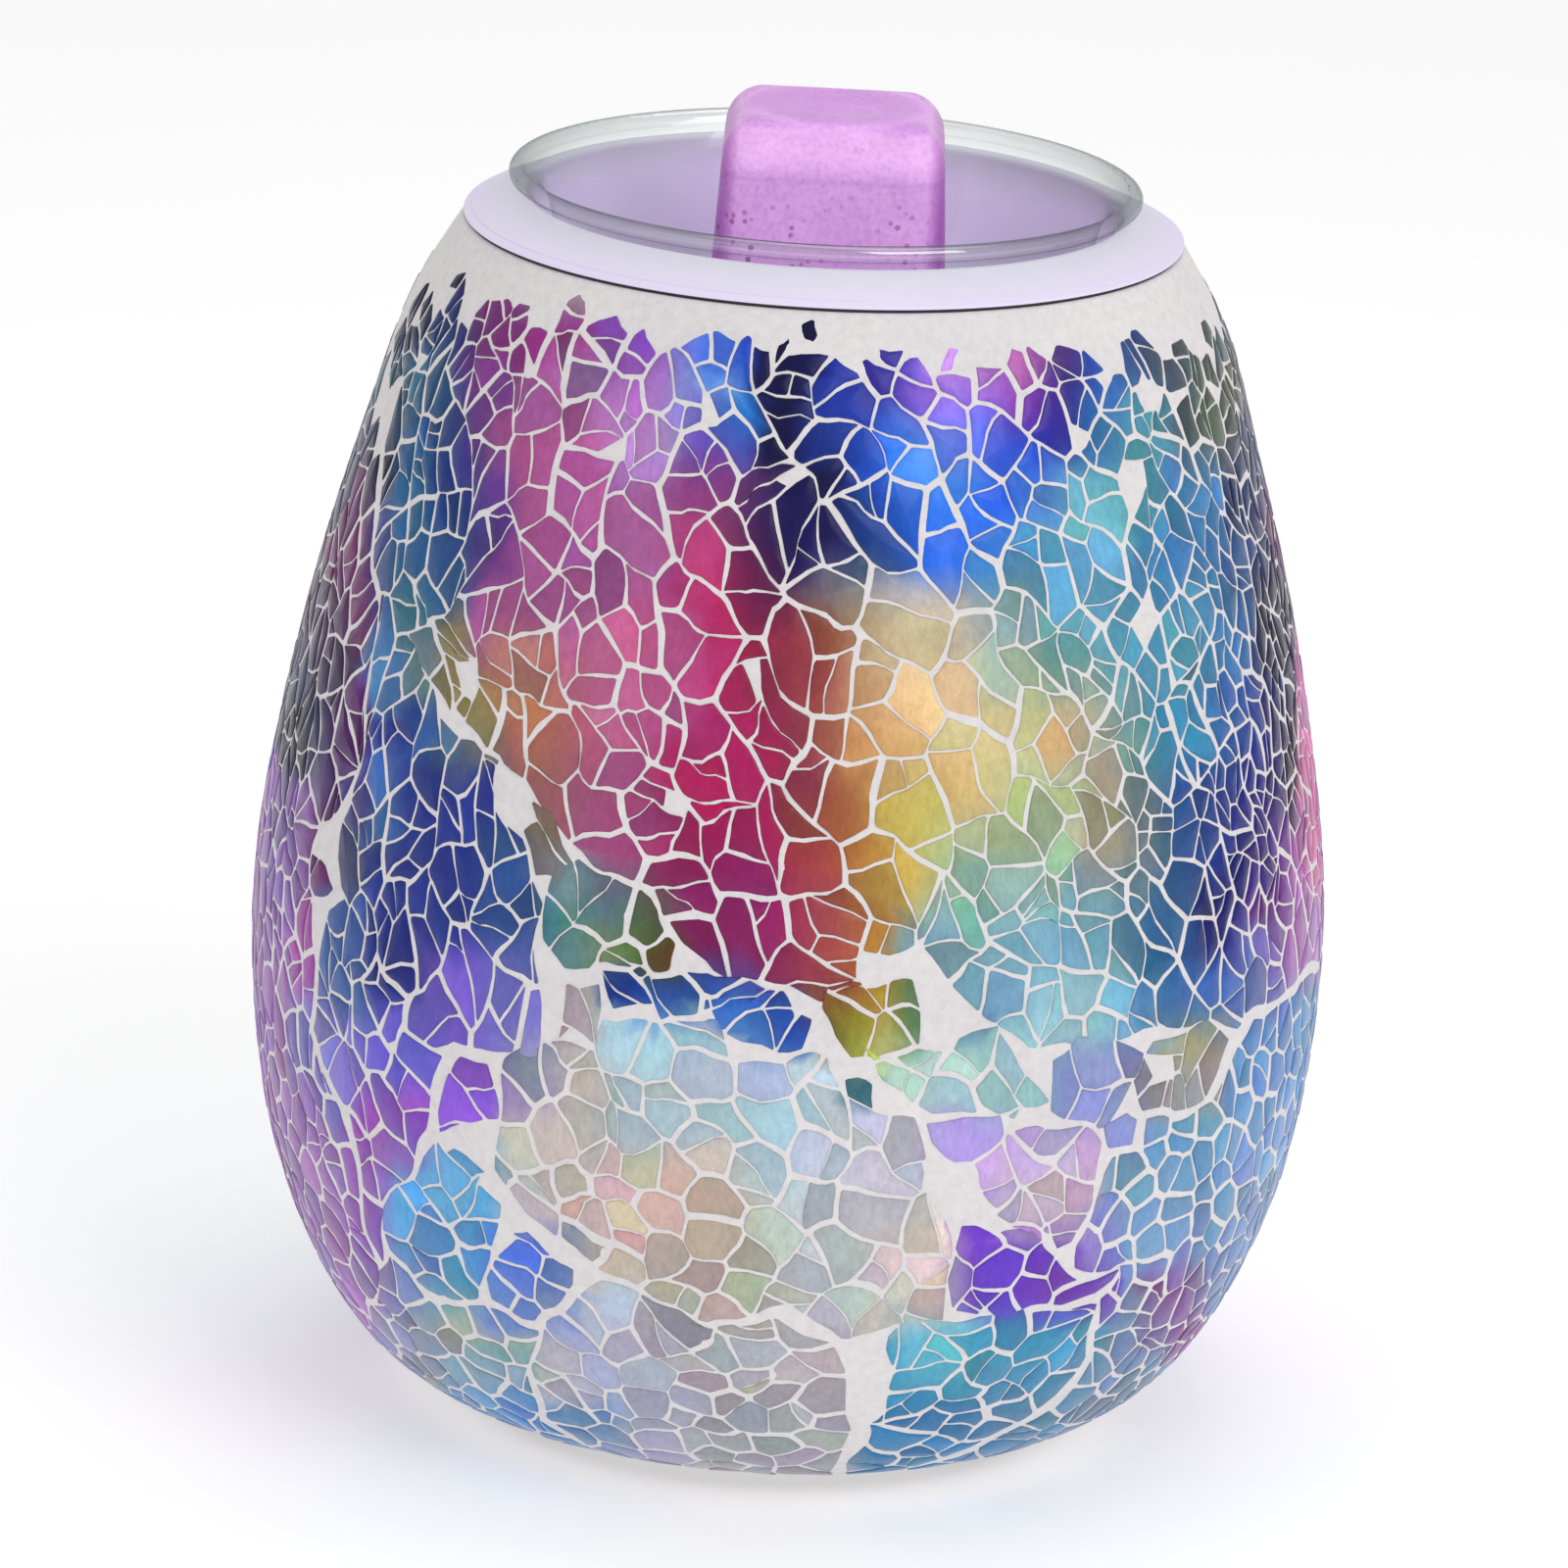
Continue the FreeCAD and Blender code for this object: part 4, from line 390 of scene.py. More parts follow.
 ([(-25.4, 72.3), (-21.9, 73.0), (-21.5, 69.2), (-25.0, 68.5)], (90, 130, 130), 0.7),
 ([(-29.2, 85.0), (-26.6, 85.5), (-26.2, 82.3), (-28.7, 81.8)], (140, 130, 60), 0.6),
 ([(-28.1, 81.6), (-25.2, 82.2), (-24.9, 79.3), (-27.7, 78.8)], (150, 110, 80), 0.6),
 ([(-19.1, 69.8), (-15.2, 70.4), (-15.0, 66.7), (-18.8, 66.1)], (5, 40, 130), 0.6),
 ([(-15.1, 69.1), (-10.1, 69.8), (-9.8, 65.2), (-14.8, 64.5)], (20, 80, 180), 0.6),
 ([(-10.2, 71.3), (-6.7, 71.7), (-6.5, 68.0), (-9.9, 67.6)], (20, 85, 165), 0.6),
 ([(-7.2, 71.2), (-3.2, 71.6), (-2.8, 65.0), (-6.8, 64.6)], (40, 110, 190), 0.6),
 ([(-3.5, 68.8), (2.1, 69.1), (2.4, 62.5), (-3.2, 62.1)], (25, 70, 160), 0.7),
 ([(-23.7, 67.2), (-19.5, 68.0), (-19.0, 61.7), (-23.3, 60.9)], (160, 145, 150), 0.5),
 ([(-37.1, 54.3), (-30.4, 56.1), (-30.3, 48.4), (-37.1, 46.6)], (150, 80, 215), 0.5),
 ([(-17.8, 62.0), (-3.8, 63.8), (-3.2, 50.0), (-17.3, 48.1)], (164, 182, 190), 2.6),
 ([(-28.5, 56.3), (-19.7, 58.2), (-19.4, 47.7), (-28.3, 45.7)], (185, 178, 168), 2.1),
 ([(-2.6, 60.5), (5.2, 60.9), (5.8, 48.1), (-2.1, 47.7)], (172, 198, 212), 2.1),
 ([(-20.5, 46.3), (-5.1, 48.6), (-4.6, 33.9), (-20.7, 31.4)], (195, 172, 156), 2.8),
 ([(-23.7, 46.8), (-17.3, 48.1), (-17.2, 42.1), (-23.8, 40.7)], (195, 175, 168), 1.7),
 ([(-14.0, 40.2), (1.1, 41.9), (1.7, 29.9), (-14.2, 28.1)], (168, 164, 155), 1.9),
 ([(5.5, 55.1), (14.5, 55.0), (15.2, 44.3), (6.0, 44.5)], (184, 188, 200), 2.1),
 ([(1.0, 45.5), (10.0, 45.7), (11.0, 32.0), (1.6, 31.9)], (184, 188, 196), 2.1),
 ([(11.4, 39.6), (18.2, 39.2), (19.5, 28.9), (12.3, 29.3)], (215, 200, 185), 1.9),
 ([(-17.9, 64.2), (-9.8, 65.4), (-9.6, 62.0), (-17.7, 60.8)], (155, 195, 210), 1.2),
 ([(-27.5, 59.8), (-24.2, 60.5), (-24.0, 57.3), (-27.3, 56.6)], (150, 165, 160), 0.9),
 ([(-15.2, 46.1), (-10.0, 46.8), (-9.9, 39.6), (-15.1, 38.8)], (205, 175, 158), 1.7),
 ([(-28.3, 43.3), (-23.7, 44.4), (-23.8, 38.2), (-28.5, 37.1)], (175, 175, 178), 1.2),
 ([(-24.6, 26.6), (-10.9, 29.3), (-11.3, 18.2), (-26.8, 14.8)], (168, 166, 186), 1.7),
 ([(-24.0, 15.6), (-9.0, 18.5), (-11.0, 4.0), (-25.6, 4.2)], (160, 162, 188), 1.7),
 ([(-8.8, 25.6), (8.3, 26.7), (11.6, 6.2), (-11.0, 4.0)], (165, 160, 168), 1.7),
 ([(-17.4, 31.4), (-14.1, 32.0), (-14.2, 28.1), (-17.6, 27.5)], (170, 195, 210), 0.8),
 ([(-4.4, 16.1), (9.4, 16.7), (11.6, 6.2), (-4.9, 5.2)], (155, 158, 168), 1.4),
 ([(-44.1, 42.3), (-30.7, 46.3), (-32.3, 25.8), (-49.6, 20.1)], (78, 155, 208), 1.7),
 ([(-43.6, 33.9), (-37.5, 35.8), (-39.9, 23.5), (-47.4, 20.9)], (85, 140, 195), 1.2),
 ([(-38.3, 44.1), (-31.9, 46.0), (-32.1, 38.6), (-38.8, 36.6)], (100, 172, 210), 0.9),
 ([(-31.1, 35.8), (-21.0, 38.2), (-21.8, 25.2), (-33.0, 22.2)], (70, 105, 205), 0.9),
 ([(-31.6, 29.9), (-26.5, 31.3), (-27.5, 23.7), (-33.1, 22.1)], (95, 130, 210), 0.8),
 ([(15.5, 54.4), (22.9, 53.9), (23.4, 47.3), (15.9, 47.9)], (180, 145, 215), 0.9),
 ([(22.9, 53.3), (35.1, 51.6), (35.8, 45.4), (23.4, 47.3)], (182, 160, 200), 0.9),
 ([(24.4, 47.8), (34.5, 46.3), (35.7, 38.0), (25.3, 39.8)], (192, 172, 190), 0.9),
 ([(18.5, 41.7), (38.9, 38.6), (42.6, 25.4), (19.9, 29.5)], (100, 50, 190), 0.6),
 ([(29.5, 34.6), (39.5, 32.7), (40.9, 27.9), (30.4, 30.1)], (110, 50, 160), 0.6),
 ([(28.2, 62.6), (40.0, 60.7), (40.9, 49.8), (28.8, 52.0)], (135, 140, 200), 0.6),
 ([(35.6, 52.9), (40.2, 52.0), (40.7, 47.8), (36.0, 48.8)], (130, 130, 205), 0.5),
 ([(38.3, 58.0), (44.7, 56.7), (45.3, 50.8), (38.7, 52.3)], (140, 132, 130), 0.6),
 ([(41.5, 63.2), (53.4, 60.4), (53.8, 55.5), (41.7, 58.5)], (155, 145, 100), 0.8),
 ([(44.6, 57.9), (52.3, 55.9), (53.2, 49.7), (45.2, 51.8)], (145, 145, 150), 0.8),
 ([(38.2, 52.1), (66.0, 44.5), (78.4, 25.0), (40.6, 37.0)], (92, 145, 186), 1.9),
 ([(37.8, 45.0), (46.6, 43.0), (50.2, 30.6), (40.0, 33.3)], (110, 150, 190), 1.4),
 ([(45.2, 30.7), (55.3, 27.8), (72.0, 12.5), (50.7, 19.7)], (120, 60, 130), 1.2),
 ([(51.5, 36.6), (73.7, 29.1), (75.2, 17.5), (58.9, 22.6)], (100, 130, 175), 1.7),
 ([(40.2, 28.1), (48.9, 25.7), (64.5, 8.2), (48.1, 13.3)], (100, 128, 158), 1.4),
 ([(56.1, 58.4), (72.9, 53.1), (81.5, 34.0), (59.6, 41.6)], (90, 140, 200), 1.4),
 ([(56.2, 46.4), (77.0, 39.3), (78.8, 26.3), (61.5, 32.2)], (120, 140, 190), 1.4),
 ([(34.6, 40.7), (38.6, 39.9), (40.4, 31.9), (36.1, 32.9)], (130, 140, 200), 0.9),
 ([(37.3, 20.5), (44.3, 18.8), (54.4, 8.1), (42.1, 11.9)], (110, 130, 160), 0.9),
 ([(12.7, 30.6), (37.6, 27.3), (44.2, 13.6), (14.3, 18.8)], (58, 148, 184), 1.2),
 ([(12.0, 18.9), (26.2, 17.6), (32.5, 4.4), (15.2, 6.0)], (50, 120, 168), 1.2),
 ([(25.1, 21.4), (36.4, 19.3), (44.1, 8.0), (28.4, 11.8)], (80, 130, 168), 1.2),
 ([(15.8, 27.8), (21.4, 27.4), (22.6, 21.7), (16.6, 22.3)], (90, 170, 190), 0.9),
 ([(-51.2, 24.8), (-41.6, 28.1), (-43.4, 22.3), (-55.0, 18.1)], (150, 110, 170), 0.9),
 ([(-43.4, 22.3), (-24.5, 27.9), (-26.0, 17.9), (-51.7, 9.6)], (165, 168, 150), 1.7),
 ([(-45.2, 14.8), (-28.2, 20.2), (-31.3, 10.5), (-49.6, 5.3)], (90, 140, 190), 1.2),
 ([(-35.2, 9.3), (-19.2, 13.7), (-22.6, 4.1), (-33.0, 4.4)], (60, 125, 190), 1.2),
 ([(-51.9, 17.9), (-42.1, 21.4), (-48.2, 10.9), (-60.3, 6.9)], (130, 135, 170), 1.2),
 ([(-33.1, 4.4), (-17.7, 9.1), (-18.8, 4.1), (-27.6, 4.3)], (140, 150, 170), 0.9),
]

# ---- profile of the pot, metres, above the table
BODY_Z0, BODY_H = 2.5, 139.0
BODY = [(0.0, 39.30), (2.07, 45.04), (5.53, 49.56), (11.05, 53.70), (17.96, 57.20), (26.25, 60.17),
        (37.30, 62.43), (49.74, 63.50), (63.55, 63.17), (77.37, 61.19), (91.19, 58.41), (105.00, 54.95),
        (118.82, 50.90), (129.87, 47.16), (139.00, 41.70)]


def natural_spline(t, y):
    n = len(t)
    h = np.diff(t)
    a = np.zeros((n, n)); b = np.zeros(n)
    a[0, 0] = a[-1, -1] = 1
    for i in range(1, n - 1):
        a[i, i - 1], a[i, i], a[i, i + 1] = h[i - 1], 2 * (h[i - 1] + h[i]), h[i]
        b[i] = 3 * ((y[i + 1] - y[i]) / h[i] - (y[i] - y[i - 1]) / h[i - 1])
    c = np.linalg.solve(a, b)

    def f(x):
        k = np.clip(np.searchsorted(t, x) - 1, 0, n - 2)
        d = x - t[k]
        bb = (y[k + 1] - y[k]) / h[k] - h[k] * (2 * c[k] + c[k + 1]) / 3
        dd = (c[k + 1] - c[k]) / (3 * h[k])
        return y[k] + bb * d + c[k] * d * d + dd * d ** 3
    return f


_p = np.array([(r, BODY_Z0 + u) for u, r in BODY])
_t = np.concatenate([[0], np.cumsum(np.hypot(*np.diff(_p, axis=0).T))])
_fr, _fz = natural_spline(_t, _p[:, 0]), natural_spline(_t, _p[:, 1])
_tt = np.linspace(0, _t[-1], 1200)
PR, PZ = _fr(_tt), _fz(_tt)
_ds = np.hypot(np.diff(PR), np.diff(PZ))
PS = np.concatenate([[0], np.cumsum(_ds)])
PQ = np.concatenate([[0], np.cumsum(_ds / (0.5 * (PR[1:] + PR[:-1])))])
_dr, _dz = np.gradient(PR, PS), np.gradient(PZ, PS)
NR, NZ = _dz, -_dr
Q_MAX = PQ[-1]


def q_of_z(z):
    return np.interp(z, PZ, PQ)


def z_of_q(q):
    return np.interp(q, PQ, PZ)


def r_of_q(q):
    return np.interp(q, PQ, PR)


def place(th, q, h):
    """Chart point (angle, q) at height h mm over the surface, in mm."""
    th, q, h = np.asarray(th, float), np.asarray(q, float), np.asarray(h, float)
    r = np.interp(q, PQ, PR) + h * np.interp(q, PQ, NR)
    z = np.interp(q, PQ, PZ) + h * np.interp(q, PQ, NZ)
    return np.stack([r * np.sin(th), -r * np.cos(th), z], -1)


# ---- polygon helpers (lists of (x, y))
def area(poly):
    s = 0.0
    for i in range(len(poly)):
        x0, y0 = poly[i - 1]; x1, y1 = poly[i]
        s += x0 * y1 - x1 * y0
    return 0.5 * s


def centroid(poly):
    a = area(poly)
    if abs(a) < 1e-12:
        return (sum(p[0] for p in poly) / len(poly), sum(p[1] for p in poly) / len(poly))
    cx = cy = 0.0
    for i in range(len(poly)):
        x0, y0 = poly[i - 1]; x1, y1 = poly[i]
        k = x0 * y1 - x1 * y0
        cx += (x0 + x1) * k; cy += (y0 + y1) * k
    return (cx / (6 * a), cy / (6 * a))


def clip(poly, nx, ny, c):
    """Part of poly where nx*x + ny*y <= c."""
    out = []
    n = len(poly)
    if n == 0:
        return out
    d = [nx * p[0] + ny * p[1] - c for p in poly]
    for i in range(n):
        j = (i + 1) % n
        if d[i] <= 0:
            out.append(poly[i])
        if (d[i] < 0) != (d[j] < 0) and d[i] != d[j]:
            t = d[i] / (d[i] - d[j])
            out.append((poly[i][0] + t * (poly[j][0] - poly[i][0]), poly[i][1] + t * (poly[j][1] - poly[i][1])))
    return out


def wrap(a):
    return (a + math.pi) % (2 * math.pi) - math.pi


def inside(px, py, poly):
    """px, py arrays; poly (n,2) array -> bool array."""
    c = np.zeros(px.shape, bool)
    n = len(poly)
    for i in range(n):
        x0, y0 = poly[i - 1]; x1, y1 = poly[i]
        hit = ((y0 > py) != (y1 > py))
        with np.errstate(divide='ignore', invalid='ignore'):
            xi = (x1 - x0) * (py - y0) / (y1 - y0 + 1e-15) + x0
        c ^= hit & (px < xi)
    return c


def dist_poly(px, py, poly):
    """Signed distance to polygon outline, negative inside."""
    best = np.full(px.shape, 1e9)
    n = len(poly)
    for i in range(n):
        x0, y0 = poly[i - 1]; x1, y1 = poly[i]
        ex, ey = x1 - x0, y1 - y0
        l2 = ex * ex + ey * ey + 1e-12
        t = np.clip(((px - x0) * ex + (py - y0) * ey) / l2, 0, 1)
        best = np.minimum(best, np.hypot(px - x0 - t * ex, py - y0 - t * ey))
    return np.where(inside(px, py, poly), -best, best)
RNG = np.random.RandomState(4127)
rnd = random.Random(4127)
Q0 = float(q_of_z(4.3))
ZTOP = 140.2
QTOP = float(q_of_z(ZTOP))
Q_RAG = float(q_of_z(118.0))     # the top edge of the mosaic is ragged: whole pieces, not cut


def chart(pts):
    return [(math.radians(t), float(q_of_z(z))) for t, z in pts]


OUT = [(n, chart(p)) for n, p in PATCHES]
HOL = [chart(h) for h in HOLES]


def seam(q):
    return math.radians(90) + 0.12 * math.sin(5.1 * q + 0.6) + 0.06 * math.sin(11.3 * q)


def fold(th, q):
    """Back of the pot repeats the front's layout, turned by half a turn."""
    th = wrap(th)
    if abs(th) <= seam(q):
        return th
    return wrap(th - math.pi)


# ---- tile size and lie over the surface
_S = np.array([(math.radians(s[0]), float(q_of_z(s[1])), s[2], s[3], math.radians(s[4]), s[5]) for s in SIZES])


def size_at(th, q):
    """arrays -> a, b (mm), dir (rad), A2 (mm2)"""
    th = (th + np.pi) % (2 * np.pi) - np.pi
    back = np.abs(th) > np.radians(90)
    tf = np.where(back, (th + 2 * np.pi) % (2 * np.pi) - np.pi, th)
    dx = (tf[:, None] - _S[None, :, 0]) * 0.85
    dy = q[:, None] - _S[None, :, 1]
    w = 1.0 / (dx * dx + dy * dy + 0.0006) ** 1.8
    w /= w.sum(1, keepdims=True)
    a, b, A2 = w @ _S[:, 2], w @ _S[:, 3], w @ _S[:, 5]
    c2, s2 = w @ np.cos(2 * _S[:, 4]), w @ np.sin(2 * _S[:, 4])
    return a, b, 0.5 * np.arctan2(s2, c2), A2


def metric(th, q):
    a, b, d, A2 = size_at(th, q)
    R = r_of_q(q)
    ca, sa = np.cos(d), np.sin(d)
    ia, ib = (R / a) ** 2, (R / b) ** 2
    return np.stack([ia * ca * ca + ib * sa * sa, (ia - ib) * ca * sa, ia * sa * sa + ib * ca * ca], -1), A2


def make_seeds():
    n = 42000
    th = RNG.uniform(-np.pi, np.pi, n)
    # even by area: q drawn against R^2
    qq = np.linspace(Q0 - 0.02, QTOP + 0.02, 600)
    cdf = np.cumsum(r_of_q(qq) ** 2)
    q = np.interp(RNG.uniform(0, 1, n), cdf / cdf[-1], qq)
    M, A2 = metric(th, q)
    T, Q, MM, AA = np.zeros(6000), np.zeros(6000), np.zeros((6000, 3)), np.zeros(6000)
    k = 0
    lim = 0.79 ** 2
    for i in range(n):
        dt = th[i] - T[:k]
        dt -= 2 * np.pi * np.round(dt / (2 * np.pi))
        dq = q[i] - Q[:k]
        m = 0.5 * (MM[:k] + M[i])
        d = m[:, 0] * dt * dt + 2 * m[:, 1] * dt * dq + m[:, 2] * dq * dq
        if k == 0 or d.min() > lim:
            T[k], Q[k], MM[k], AA[k] = th[i], q[i], M[i], A2[i]
            k += 1
    return T[:k], Q[:k], MM[:k], AA[:k]


def tclip(poly, nx, ny, c, tag):
    """Clip of a polygon whose vertices are (x, y, tag of the edge that starts there)."""
    out = []
    n = len(poly)
    if n == 0:
        return out
    d = [nx * p[0] + ny * p[1] - c for p in poly]
    for i in range(n):
        j = (i + 1) % n
        p, r = poly[i], poly[j]
        if d[i] <= 0:
            if d[j] <= 0:
                out.append(p)
            else:
                t = d[i] / (d[i] - d[j])
                if d[i] < 0:
                    out.append(p)
                out.append((p[0] + t * (r[0] - p[0]), p[1] + t * (r[1] - p[1]), tag))
        elif d[j] < 0:
            t = d[i] / (d[i] - d[j])
            out.append((p[0] + t * (r[0] - p[0]), p[1] + t * (r[1] - p[1]), p[2]))
    return out if len(out) >= 3 else []


def cells(T, Q, MM, PID, FRONT):
    """Level one: one convex cell per seed, among the seeds of its own patch."""
    res = []
    for i in range(len(T)):
        dt = T - T[i]
        dt -= 2 * np.pi * np.round(dt / (2 * np.pi))
        dq = Q - Q[i]
        m = 0.5 * (MM + MM[i])
        d = m[:, 0] * dt * dt + 2 * m[:, 1] * dt * dq + m[:, 2] * dq * dq
        d = np.where((PID == PID[i]) | ((PID >= 0) & (FRONT != FRONT[i])) | ((PID < 0) & (Q > Q_RAG)), d, 1e9)
        d[i] = 1e9
        near = np.argsort(d)[:26]
        near = [j for j in near if d[j] < 16.0]
        x0, y0 = T[i], Q[i]
        w = 0.4
        poly = [(x0 - w, y0 - w, 0.3), (x0 + w, y0 - w, 0.3), (x0 + w, y0 + w, 0.3), (x0 - w, y0 + w, 0.3)]
        for j in near:
            # M d . (x - mid) <= 0
            nx = m[j, 0] * dt[j] + m[j, 1] * dq[j]
            ny = m[j, 1] * dt[j] + m[j, 2] * dq[j]
            mx, my = x0 + 0.5 * dt[j], y0 + 0.5 * dq[j]
            g = GAP1[min(i, j) * 7 % 97]
            poly = tclip(poly, nx, ny, nx * mx + ny * my, g)
            if not poly:
                break
        poly = tclip(poly, 0, -1, -Q0, 0.0) if poly else poly
        res.append(poly)
    return res


GAP1 = [rnd.uniform(0.18, 0.36) for _ in range(97)]     # half gaps, mm
GAP1 = [g if rnd.random() < 0.7 else g * 0.55 for g in GAP1]


def seg_hits(poly, a, b):
    """Does segment a-b pass through the convex polygon?"""
    t0, t1 = 0.0, 1.0
    dx, dy = b[0] - a[0], b[1] - a[1]
    n = len(poly)
    for i in range(n):
        p, r = poly[i], poly[(i + 1) % n]
        ex, ey = r[0] - p[0], r[1] - p[1]
        # inside is left of edge (ccw)
        num = ex * (a[1] - p[1]) - ey * (a[0] - p[0])
        den = ex * dy - ey * dx
        if abs(den) < 1e-15:
            if num < 0:
                return False
            continue
        t = -num / den
        if den > 0:
            t0 = max(t0, t)
        else:
            t1 = min(t1, t)
        if t0 >= t1:
            return False
    return t1 - t0 > 0.0 and (t1 - t0) * math.hypot(dx, dy) > 0.0015


def pin(x, y, poly):
    c = False
    n = len(poly)
    j = n - 1
    for i in range(n):
        yi, yj = poly[i][1], poly[j][1]
        if (yi > y) != (yj > y) and x < (poly[j][0] - poly[i][0]) * (y - yi) / (yj - yi) + poly[i][0]:
            c = not c
        j = i
    return c


EDGES = []
for n_, o_ in OUT + [('hole', h) for h in HOL]:
    for i in range(len(o_)):
        a, b = o_[i], o_[(i + 1) % len(o_)]
        if abs(a[0]) > 1.66 and abs(b[0]) > 1.66:
            continue
        EDGES.append((a, b, 0.13 if n_ != 'hole' else 0.1, max(a[0], b[0]), min(a[0], b[0]), max(a[1], b[1]), min(a[1], b[1]), n_))


SHAPE = dict(OUT)


def patch_of(x, y):
    for n, o in OUT:
        if pin(x, y, o):
            return n
    return None


# clusters that stand alone in the plaster are drawn a little fuller than their outlines
GROW = ("pale", "palebot", "lilac", "mint", "peri", "botright", "strip1", "olive", "violet", "purple1")
TURN = {n: (1.0 if area(o) > 0 else -1.0) for n, o in OUT}
TOP = set()
for e_ in EDGES:
    a, b = e_[0], e_[1]
    if e_[7] != 'hole' and min(a[1], b[1]) > Q_RAG and patch_of(0.5 * (a[0] + b[0]), 0.5 * (a[1] + b[1]) + 0.035) is None:
        TOP.add((a, b))


def split_outlines(poly, own):
    """poly in folded coordinates -> the pieces that lie in its own patch."""
    xs = [p[0] for p in poly]; ys = [p[1] for p in poly]
    x0, x1, y0, y1 = min(xs), max(xs), min(ys), max(ys)
    pieces = [poly]
    for a, b, g, ax, an, bx, bn, whose in EDGES:
        if whose != own and whose != 'hole':
            continue
        if (a, b) in TOP:
            continue
        if an > x1 or ax < x0 or bn > y1 or bx < y0:
            continue
        new = []
        for pc in pieces:
            if seg_hits(pc, a, b):
                nx, ny = b[1] - a[1], -(b[0] - a[0])
                l = math.hypot(nx, ny); nx /= l; ny /= l
                c = nx * a[0] + ny * a[1]
                if whose in GROW:
                    c += 0.24 / 55.0 * TURN[whose]
                for s in (1, -1):
                    q_ = tclip(pc, s * nx, s * ny, s * c, g)
                    if q_ and abs(area([(p[0], p[1]) for p in q_])) > 1e-6:
                        new.append(q_)
            else:
                new.append(pc)
        pieces = new
    out = []
    for pc in pieces:
        cx, cy = centroid([(p[0], p[1]) for p in pc])
        if pin(cx, cy, SHAPE[own]) and not any(pin(cx, cy, h) for h in HOL):
            out.append((pc, own))
    return out


def best_points(poly, k, M):
    pts = []
    xs = [p[0] for p in poly]; ys = [p[1] for p in poly]
    flat = [(p[0], p[1]) for p in poly]
    for _ in range(k):
        best, bd = None, -1
        for _ in range(14):
            for _ in range(30):
                x, y = rnd.uniform(min(xs), max(xs)), rnd.uniform(min(ys), max(ys))
                if pin(x, y, flat):
                    break
            d = min([M[0] * (x - a) ** 2 + 2 * M[1] * (x - a) * (y - b) + M[2] * (y - b) ** 2 for a, b in pts] or [9])
            if d > bd:
                best, bd = (x, y), d
        pts.append(best)
    return pts


def subdivide(poly, k, M, g):
    if k <= 1:
        return [poly]
    # blend the metric towards an even one so that pieces are less drawn out
    tr = 0.5 * (M[0] + M[2])
    m = (0.45 * M[0] + 0.55 * tr, 0.45 * M[1], 0.45 * M[2] + 0.55 * tr)
    pts = best_points(poly, k, m)
    out = []
    for i, (x, y) in enumerate(pts):
        pc = poly
        for j, (u, v) in enumerate(pts):
            if i == j or not pc:
                continue
            dx, dy = u - x, v - y
            nx, ny = m[0] * dx + m[1] * dy, m[1] * dx + m[2] * dy
            pc = tclip(pc, nx, ny, nx * (x + u) / 2 + ny * (y + v) / 2, g)
        if pc:
            out.append(pc)
    return out


def inset(poly, R, add=0.0):
    """Half planes of every edge moved in by that edge's half gap (mm over radius)."""
    out = [(p[0], p[1]) for p in poly]
    n = len(poly)
    for i in range(n):
        p, r = poly[i], poly[(i + 1) % n]
        ex, ey = r[0] - p[0], r[1] - p[1]
        l = math.hypot(ex, ey)
        if l < 1e-9:
            continue
        nx, ny = ey / l, -ex / l
        out = clip(out, nx, ny, nx * p[0] + ny * p[1] - (p[2] + add) / R)
        if len(out) < 3:
            return []
    return out


def tidy(poly, tol):
    out = []
    for p in poly:
        if not out or math.hypot(p[0] - out[-1][0], p[1] - out[-1][1]) > tol:
            out.append(p)
    while len(out) > 2 and math.hypot(out[0][0] - out[-1][0], out[0][1] - out[-1][1]) <= tol:
        out.pop()
    return out


def round_dense(poly, R, rad, step):
    """Round the corners by rad mm and add points every step mm."""
    n = len(poly)
    out = []
    for i in range(n):
        a, p, b = poly[i - 1], poly[i], poly[(i + 1) % n]
        la, lb = math.hypot(a[0] - p[0], a[1] - p[1]), math.hypot(b[0] - p[0], b[1] - p[1])
        r = min(rad / R, 0.34 * la, 0.34 * lb)
        s = (p[0] + (a[0] - p[0]) * r / la, p[1] + (a[1] - p[1]) * r / la)
        e = (p[0] + (b[0] - p[0]) * r / lb, p[1] + (b[1] - p[1]) * r / lb)
        m = (0.25 * s[0] + 0.5 * p[0] + 0.25 * e[0], 0.25 * s[1] + 0.5 * p[1] + 0.25 * e[1])
        out += [s, m, e]
        # straight run to the next corner
        c2 = poly[(i + 2) % n]
        l2 = math.hypot(c2[0] - b[0], c2[1] - b[1])
        r2_ = min(rad / R, 0.34 * lb, 0.34 * l2)
        f = (b[0] + (p[0] - b[0]) * r2_ / lb, b[1] + (p[1] - b[1]) * r2_ / lb)
        run = math.hypot(f[0] - e[0], f[1] - e[1])
        k = int(run * R / step)
        for t in range(1, k + 1):
            u = t / (k + 1)
            out.append((e[0] + (f[0] - e[0]) * u, e[1] + (f[1] - e[1]) * u))
    return out


_ph = RNG.uniform(0, 6.28, (3, 8))
_kv = RNG.normal(0, 1, (3, 8, 3))
_kv /= np.linalg.norm(_kv, axis=2, keepdims=True)
_wl = np.array([14.0, 11.0, 8.5, 7.0, 5.6, 4.6, 3.8, 3.2])


def warp(P):
    """Smooth wander of a chart point, in mm."""
    out = []
    for a in range(2):
        s = np.zeros(len(P))
        for k in range(8):
            s += np.sin(P @ _kv[a, k] * (6.283 / _wl[k]) + _ph[a, k]) * (0.030 * _wl[k])
        out.append(s)
    return out[0], out[1]


